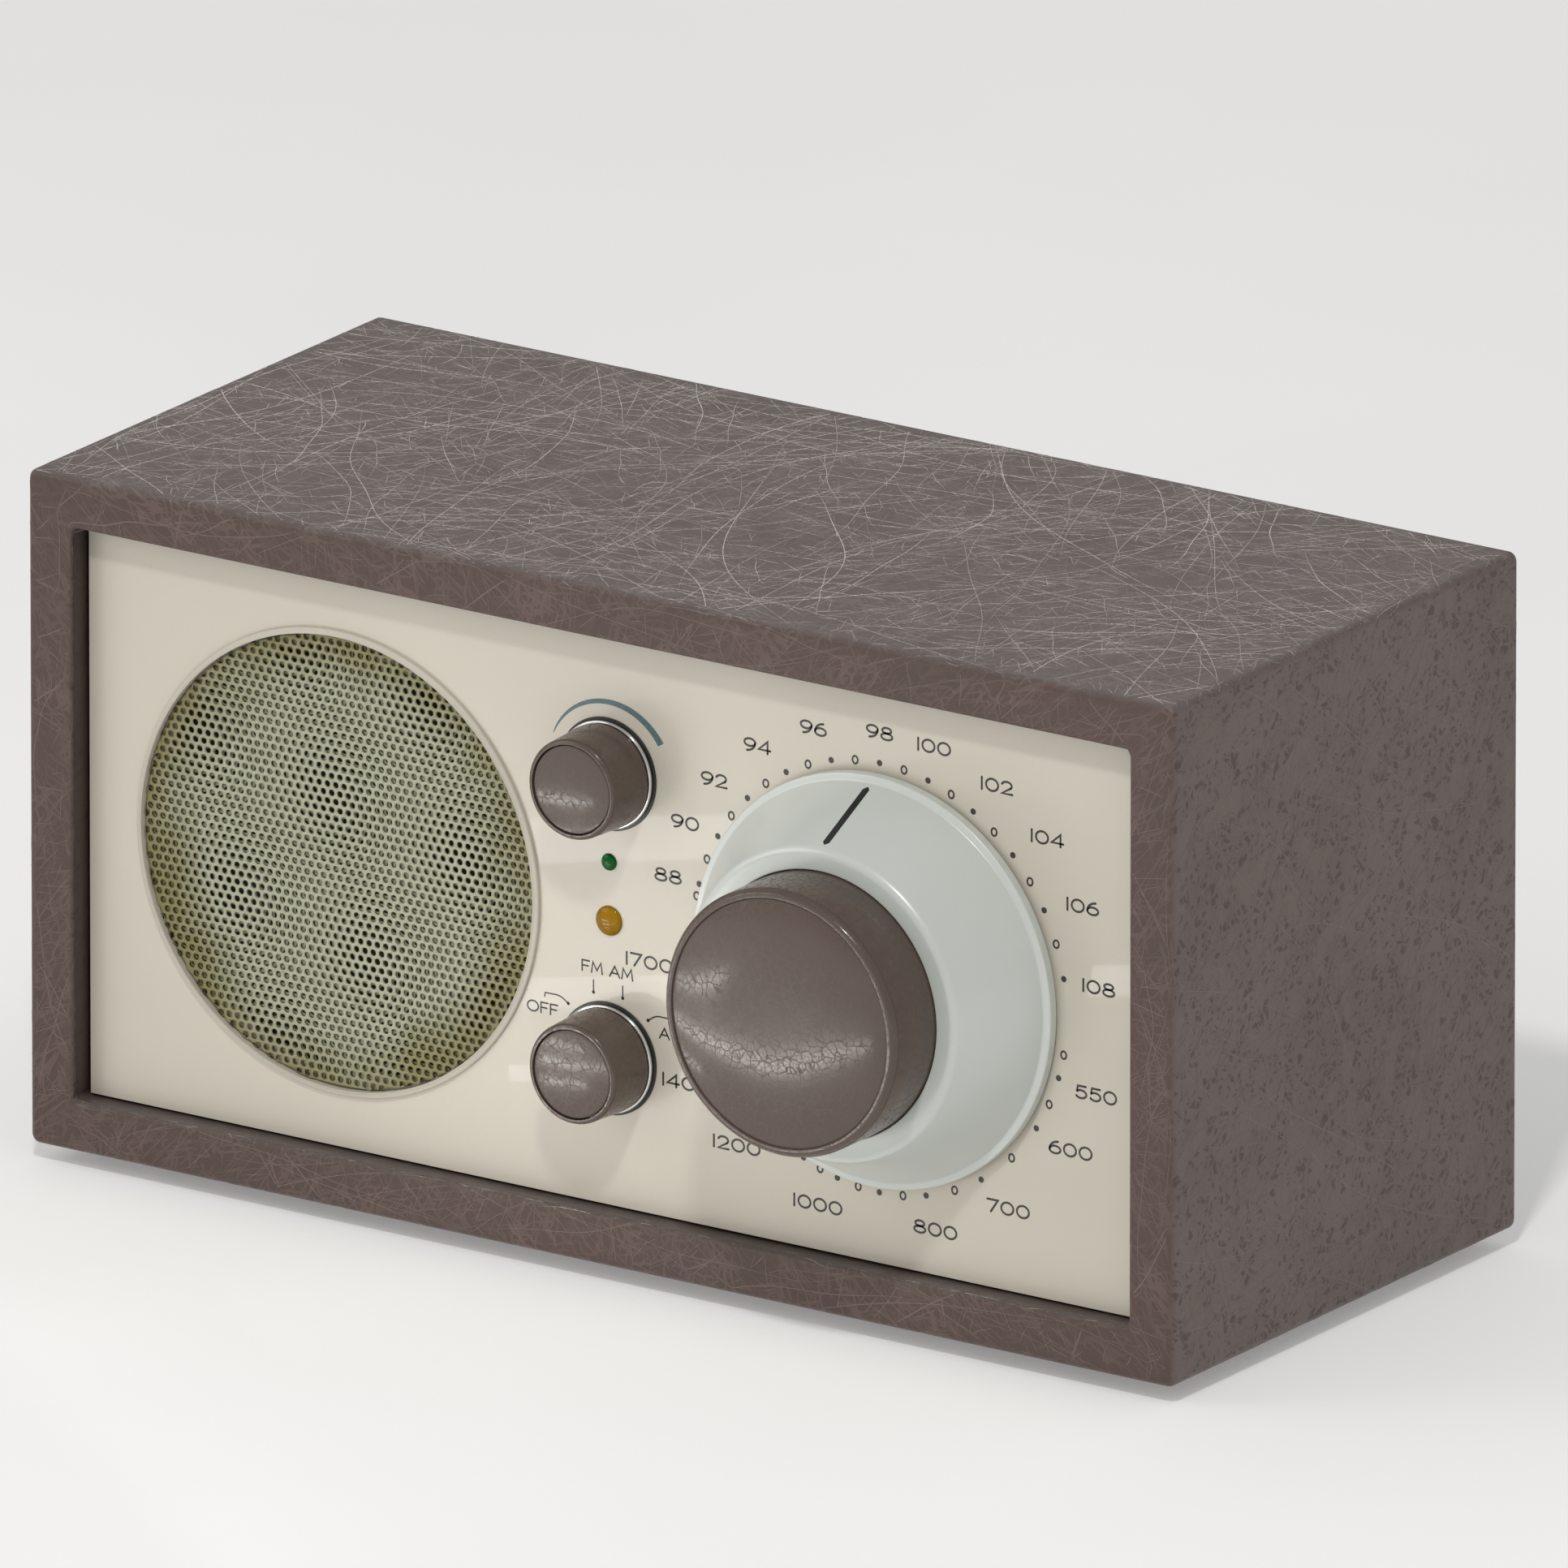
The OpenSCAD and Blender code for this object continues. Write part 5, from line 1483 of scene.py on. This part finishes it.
@dataclass
class Markings:
    """What is printed on the panel: the tuning scale, the volume wedge and the selector's marks.

    Angles run clockwise from the top, in degrees, and radii are in millimetres.
    """

    dot_circle: float = 35.4
    dot: float = 0.52
    ring: float = 0.57
    ring_line: float = 0.34
    digit: float = 2.35
    stroke: float = 0.37
    selector_circle: float = 10.75
    selector_dot: float = 0.3
    leader: float = 0.24
    wedge_circle: float = 11.4
    wedge_ends: Point = (-65.0, 57.0)
    fm_marks: tuple[tuple[str, float, float, float], ...] = (
        ("88", -75, -76.8, 41.2), ("90", -60, -63, 41.4), ("92", -45, -49.4, 41.3),
        ("94", -30, -34.3, 41.1),
        ("96", -15, -17.9, 40.8), ("98", 0, 0, 40.4), ("100", 15, 14.4, 41.2),
        ("102", 30, 31.8, 42),
        ("104", 45.4, 47.7, 42.8), ("106", 61.5, 63.9, 42.7), ("108", 79.8, 81.8, 41.8))
    am_marks: tuple[tuple[str, float, float, float], ...] = (
        ("550", 106.8, 106, 42.6), ("600", 123, 121, 42.2), ("700", 147, 144, 41.5),
        ("800", 165.5, 165, 41),
        ("", 180, 0, 0), ("1000", 193, 196.5, 41.3), ("", 204, 0, 0), ("1200", 214, 219.7, 42.5),
        ("", 223, 0, 0),
        ("1400", 231.5, 236.5, 44.0), ("", 240, 0, 0), ("1700", 256, 262.7, 44.1))

    def at(self, axis: Axis, radius: float, angle: float) -> Point:
        """A point of the panel at a radius and angle about an axis, in metres."""
        return (axis.x + radius * MM * math.sin(math.radians(angle)),
                axis.z + radius * MM * math.cos(math.radians(angle)))

    def open_dot(self, sheet: Print, x: float, z: float) -> None:
        """An open dot, a little taller than it is wide."""
        angle = np.linspace(0, 2 * math.pi, 24, endpoint=False)
        line = np.stack([x + self.ring * 0.88 * MM * np.cos(angle),
                         z + self.ring * 1.1 * MM * np.sin(angle)], axis=1)
        sheet.ribbon(line, self.ring_line, closed=True)

    def scale(self, sheet: Print) -> None:
        """The tuning scale: filled dots at its marks, open ones between them, and numbers."""
        axis = axis_of("tuning_dial")
        for group in ([mark[1] for mark in self.fm_marks], [mark[1] for mark in self.am_marks]):
            for angle in group:
                sheet.dot(*self.at(axis, self.dot_circle, angle), self.dot)
            for first, second in zip(group[:-1], group[1:]):
                self.open_dot(sheet, *self.at(axis, self.dot_circle, (first + second) / 2))
        self.open_dot(sheet, *self.at(axis, self.dot_circle, self.fm_marks[0][1] - 3.4))
        self.open_dot(sheet, *self.at(axis, self.dot_circle, self.am_marks[0][1] - 6.6))
        for label, _, angle, radius in self.fm_marks + self.am_marks:
            if label:
                sheet.text(label, *self.at(axis, radius, angle), self.digit, self.stroke)

    def wedge(self, sheet: Print) -> None:
        """The volume wedge: an arc over the knob that grows wider clockwise."""
        axis = axis_of("volume_knob")
        share = np.linspace(0, 1, 60)
        angle = np.radians(np.linspace(*self.wedge_ends, len(share)))
        wide = 0.08 + 1.15 * share ** 0.6
        middle = self.wedge_circle + wide / 2
        line = np.stack([axis.x + middle * MM * np.sin(angle),
                         axis.z + middle * MM * np.cos(angle)], axis=1)
        normal = np.stack([np.sin(angle), np.cos(angle)], axis=1) * (wide * MM / 2)[:, None]
        points = np.stack([line + normal, line - normal], axis=1).reshape(-1, 2)
        sheet.parts.append((sheet.to_panel(points), [grid_quads(len(share), 2)]))

    def selector(self, sheet: Print) -> None:
        """The selector's four dots, their leaders and their words."""
        axis = axis_of("selector_knob")
        dots = [self.at(axis, self.selector_circle, angle) for angle in (-45, -15, 15, 45)]
        off, fm, am, aux = dots
        for x, z in dots:
            sheet.dot(x, z, self.selector_dot)
        for (x, z), word, shift in ((fm, "FM", -0.25), (am, "AM", -0.3)):
            sheet.ribbon(np.array([(x, z), (x, z + 2.0 * MM)]), self.leader)
            sheet.text(word, x + shift * MM, z + 4.1 * MM, 2.05, 0.29, 0.2)
        for (x, z), word, way, reach, shift in ((off, "OFF", -1, 4.4, -4.9),
                                                (aux, "AUX", 1, 4.0, 5.2)):
            leader = [(0, 0, 0), (way * 1.5, 1.05, 0.9), (way * reach, 1.0, 0),
                      (way * (reach + 0.1), 0.35, 0)]
            sheet.ribbon(rounded_line([(x + u * MM, z + v * MM, r * MM) for u, v, r in leader], 6),
                         self.leader)
            sheet.text(word, x + shift * MM, z - 1.6 * MM, 2.0, 0.28, 0.24)

    def build(self) -> None:
        """Builds the two printed pieces, one for each ink."""
        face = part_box("front_panel")[0].y
        dark = Print("print_dark", Ink("ink_dark", (0.022, 0.022, 0.018)), face)
        self.scale(dark)
        self.selector(dark)
        dark.build()
        blue = Print("print_blue", Ink("ink_blue", (0.065, 0.11, 0.12)), face)
        self.wedge(blue)
        blue.build()


# ------------------------------------------------- solid-model nodes kept ---

@dataclass
class KeptNodes:
    """Finishes for the nodes shown as packed: boards, works, feet and the back's fittings."""

    def finishes(self) -> dict[str, tuple[object, tuple[str, ...]]]:
        """Each slot's finish and the nodes that wear it."""
        steel = Metal("plated_steel", (0.62, 0.61, 0.58), 0.3, (500.0, 500.0, 500.0))
        black = Moulded("black_plastic", (0.018, 0.018, 0.018), roughness=0.4, grain=1600.0,
                        grain_depth=0.02)
        return {
            "board_wood": (Grained("board_wood", (0.2, 0.125, 0.07), (0.42, 0.3, 0.18),
                                   (60.0, 900.0, 900.0)),
                           ("top_board", "bottom_board", "left_board", "right_board")),
            "cleat_wood": (Grained("cleat_wood", (0.26, 0.18, 0.1), (0.5, 0.38, 0.24),
                                   (70.0, 1100.0, 1100.0)),
                           ("front_cleat", "rear_cleat")),
            "panel_cream": (Moulded("panel_cream", (0.6, 0.56, 0.475), drift=0.018, roughness=0.36,
                                    roughness_drift=0.05, grain_depth=0.004, coat=0.15),
                                    ("front_panel",)),
            "gasket_rubber": (Moulded("gasket_rubber", (0.03, 0.03, 0.03), roughness=0.8),
                              ("speaker_gasket",)),
            "basket_paint": (Moulded("basket_paint", (0.03, 0.03, 0.032), roughness=0.42),
                             ("speaker_basket",)),
            "magnet_black": (Moulded("magnet_black", (0.045, 0.045, 0.05), drift=0.15,
                                     roughness=0.55),
                             ("speaker_magnet",)),
            "plated_steel": (steel, ("speaker_pole", "speaker_screws", "foot_screws", "back_screws",
                                     "shaft_nuts",
                                     "volume_shaft", "selector_shaft", "tuning_spindle")),
            "ball_steel": (Metal("ball_steel", (0.7, 0.7, 0.7), 0.12),
                           ("drive_ball_1", "drive_ball_2",
                                                                        "drive_ball_3")),
            "control_alloy": (Metal("control_alloy", (0.5, 0.5, 0.48), 0.42),
                              ("volume_control", "selector_switch", "drive_housing",
                               "tuning_capacitor")),
            "carrier_brass": (Metal("carrier_brass", (0.6, 0.45, 0.2), 0.3),
                              ("ball_carrier", "capacitor_rotor")),
            "spider_cloth": (Grained("spider_cloth", (0.4, 0.26, 0.1), (0.62, 0.45, 0.22),
                                     (1500.0, 1500.0, 1500.0)),
                             ("speaker_spider",)),
            "cone_paper": (Grained("cone_paper", (0.035, 0.032, 0.03), (0.08, 0.075, 0.07),
                                   (1200.0, 1200.0, 1200.0), 0.85),
                                   ("speaker_cone", "dust_cap", "speaker_surround")),
            "copper_wire": (Metal("copper_wire", (0.7, 0.33, 0.16), 0.3, (400.0, 6000.0, 400.0),
                                  0.02),
                            ("voice_coil", "power_transformer")),
            "black_plastic": (black, ("bass_port", "antenna_switch", "pairing_button",
                                      "dial_pointer")),
            "foot_rubber": (Moulded("foot_rubber", (0.02, 0.02, 0.02), roughness=0.75,
                                    grain_depth=0.03), ("feet",)),
            "circuit_board": (Moulded("circuit_board", (0.03, 0.12, 0.055), drift=0.12,
                                      roughness=0.35, coat=0.4),
                              ("main_board", "rear_board", "ferrite_rod")),
            "back_black": (Moulded("back_black", (0.022, 0.022, 0.022), roughness=0.5, grain=1300.0,
                                   grain_depth=0.035), ("back_panel",)),
            "socket_black": (Moulded("socket_black", (0.03, 0.03, 0.03), roughness=0.35),
                             ("mains_inlet", "dc_jack", "audio_jacks", "antenna_socket")),
        }

    def build(self) -> None:
        """Paints the kept nodes."""
        for slot, (finish, nodes) in self.finishes().items():
            material = finish.make()
            for node in nodes:
                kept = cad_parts[node]
                kept.data.materials.clear()
                kept.data.materials.append(material)
        LOG.info("kept nodes painted")


def paint(piece: Piece, finish: object) -> Piece:
    """Gives a piece the material that a finish makes."""
    piece.data.materials.append(finish.make())
    return piece


# ----------------------------------------------------------------- studio ---

@dataclass
class Studio:
    """A pale floor, soft lights and the camera."""

    azimuth: float = 34.29
    elevation: float = 18.05
    lens: float = 1500.0
    wide: float = 247.1
    shift: Point = (1.92, 10.07)
    glint_strength: float = 3.4
    glint_spread: float = 90.0
    surround: float = 0.47
    floor_sides: int = 64

    def floor(self) -> None:
        """A round pale floor under the feet."""
        rings = np.array([0.0, 0.3, 0.8, 2.0, 6.0])
        here = np.arange(self.floor_sides)
        after = (here + 1) % self.floor_sides
        angle = here / self.floor_sides * 2 * math.pi
        ring = np.stack([np.cos(angle), np.sin(angle), np.zeros(self.floor_sides)], axis=1)
        points = np.concatenate([[[0, 0, 0]], (rings[1:, None, None] * ring[None]).reshape(-1, 3)])
        centre = np.stack([np.zeros_like(here), here + 1, after + 1], axis=1)
        outer = grid_quads(len(rings) - 1, self.floor_sides, close_columns=True)[:, ::-1] + 1
        piece = make_piece("floor", points, [centre, outer])
        piece.data.materials.append(self.floor_finish())

    @staticmethod
    def floor_finish() -> Material:
        """Pale matt floor with a faint mottle."""
        n = Nodes("floor")
        cloud = n.remap(n.noise(6.0, 3.0), 0.3, 0.7)
        n.shade(Base_Color=n.blend(cloud, (0.86, 0.86, 0.86), (0.9, 0.9, 0.9)), Roughness=0.9,
                Emission_Color=(1.0, 1.0, 1.0), Emission_Strength=0.2)
        return n.material

    def light(self, name: str, place: Triple, size: tuple[float, float], power: float,
              colour: Colour = (1.0, 1.0, 1.0), aim: Triple = (0.0, 0.0, 0.06),
              spread: float = 180.0) -> None:
        """Adds a rectangular soft light that faces a point.

        Args:
            name: the light's name.
            place: where it stands, in metres.
            size: its sides in metres.
            power: in watts.
            colour: its colour.
            aim: the point that it faces.
            spread: the angle of its beam in degrees.
        """
        data = bpy.data.lights.new(name, "AREA")
        data.shape, (data.size, data.size_y) = "RECTANGLE", size
        data.energy, data.color = power, colour
        data.spread = math.radians(spread)
        lamp = bpy.data.objects.new(name, data)
        lamp.location = place
        lamp.rotation_mode = "QUATERNION"
        lamp.rotation_quaternion = (Vector(aim) - Vector(place)).to_track_quat("-Z", "Y")
        bpy.context.scene.collection.objects.link(lamp)
        lamp.visible_camera = False

    def glint(self, node: str) -> None:
        """A small strip light low in front of a knob, which its domed face mirrors.

        Args:
            node: the knob.
        """
        low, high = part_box(node)
        face = Vector(((low.x + high.x) / 2, low.y, (low.z + high.z) / 2))
        way = Vector((-0.575, -0.73, -0.37)).normalized()
        reach = (face.z - 7 * MM) / -way.z
        size = (reach * radius_of(node) * 0.05, reach * 0.035)
        power = math.pi * size[0] * size[1] * self.glint_strength
        self.light(f"glint_{node}", tuple(face + way * reach), size, power, (1.0, 0.97, 0.94),
                   tuple(face),
                   self.glint_spread)

    def world(self, colour: Colour, strength: float) -> None:
        """Sets an even surround."""
        world = bpy.data.worlds.new("surround")
        world.use_nodes = True
        back = next(n for n in world.node_tree.nodes if n.type == "BACKGROUND")
        back.inputs["Color"].default_value = (*colour, 1.0)
        back.inputs["Strength"].default_value = strength
        bpy.context.scene.world = world

    def camera(self) -> None:
        """A long lens from the front right and above, aimed near the middle of the cabinet."""
        azimuth, elevation = math.radians(self.azimuth), math.radians(self.elevation)
        back = Vector((math.sin(azimuth) * math.cos(elevation),
                       -math.cos(azimuth) * math.cos(elevation),
                       math.sin(elevation)))
        data = bpy.data.cameras.new("camera")
        data.lens, data.sensor_width = self.lens, 36.0
        far = self.wide * MM * self.lens / data.sensor_width
        data.clip_start, data.clip_end = far * 0.5, far * 3
        camera = bpy.data.objects.new("camera", data)
        turn = (-back).to_track_quat("-Z", "Y")
        right, up = turn @ Vector((1, 0, 0)), turn @ Vector((0, 1, 0))
        low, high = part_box("leather_cover")
        camera.location = ((low + high) / 2 + right * self.shift[0] * MM + up * self.shift[1] * MM
                           + back * far)
        camera.rotation_mode = "QUATERNION"
        camera.rotation_quaternion = turn
        bpy.context.scene.collection.objects.link(camera)
        bpy.context.scene.camera = camera

    def build(self) -> None:
        """Builds the studio."""
        bpy.context.scene.view_settings.view_transform = "Standard"
        self.floor()
        self.world((1.0, 0.99, 0.98), self.surround)
        self.light("key", (0.62, -1.17, 1.7), (0.16, 0.16), 13.0, (1.0, 0.985, 0.96))
        self.light("side", (-0.6, -0.55, 0.4), (0.45, 0.45), 1.3, (1.0, 0.99, 0.97))
        for node in ("tuning_knob", "volume_knob", "selector_knob"):
            self.glint(node)
        self.camera()


def main() -> None:
    """Builds every sub-assembly in order, then the studio."""
    logging.basicConfig(level=logging.INFO, format="%(name)s: %(message)s")
    Case().build()
    KeptNodes().build()
    Grille().build()
    knob = Crackle("knob_plastic", (0.1, 0.072, 0.058)).make()
    chrome = Metal("ring_chrome", (0.82, 0.82, 0.8), 0.1, depth=0.0005).make()
    # Black of the discs behind the small knobs' rings: painted shadow of the recess.
    dark = Moulded("recess_shade_black", (0.012, 0.012, 0.012), roughness=0.4).make()
    SmallKnob("volume", "volume").build(knob, chrome, dark)
    SmallKnob("selector", "selector").build(knob, chrome, dark)
    TuningDial().build(knob)
    Lamp("power_lamp", LampPlastic("lamp_green", (0.0, 0.13, 0.02), (0.0, 0.03, 0.004)),
         "lamp_green").build()
    Lamp("tuning_lamp", LampPlastic("lamp_amber", (0.34, 0.17, 0.0), (0.14, 0.07, 0.0)),
         "lamp_amber").build()
    Markings().build()
    Studio().build()


if __name__ == "__main__":
    main()
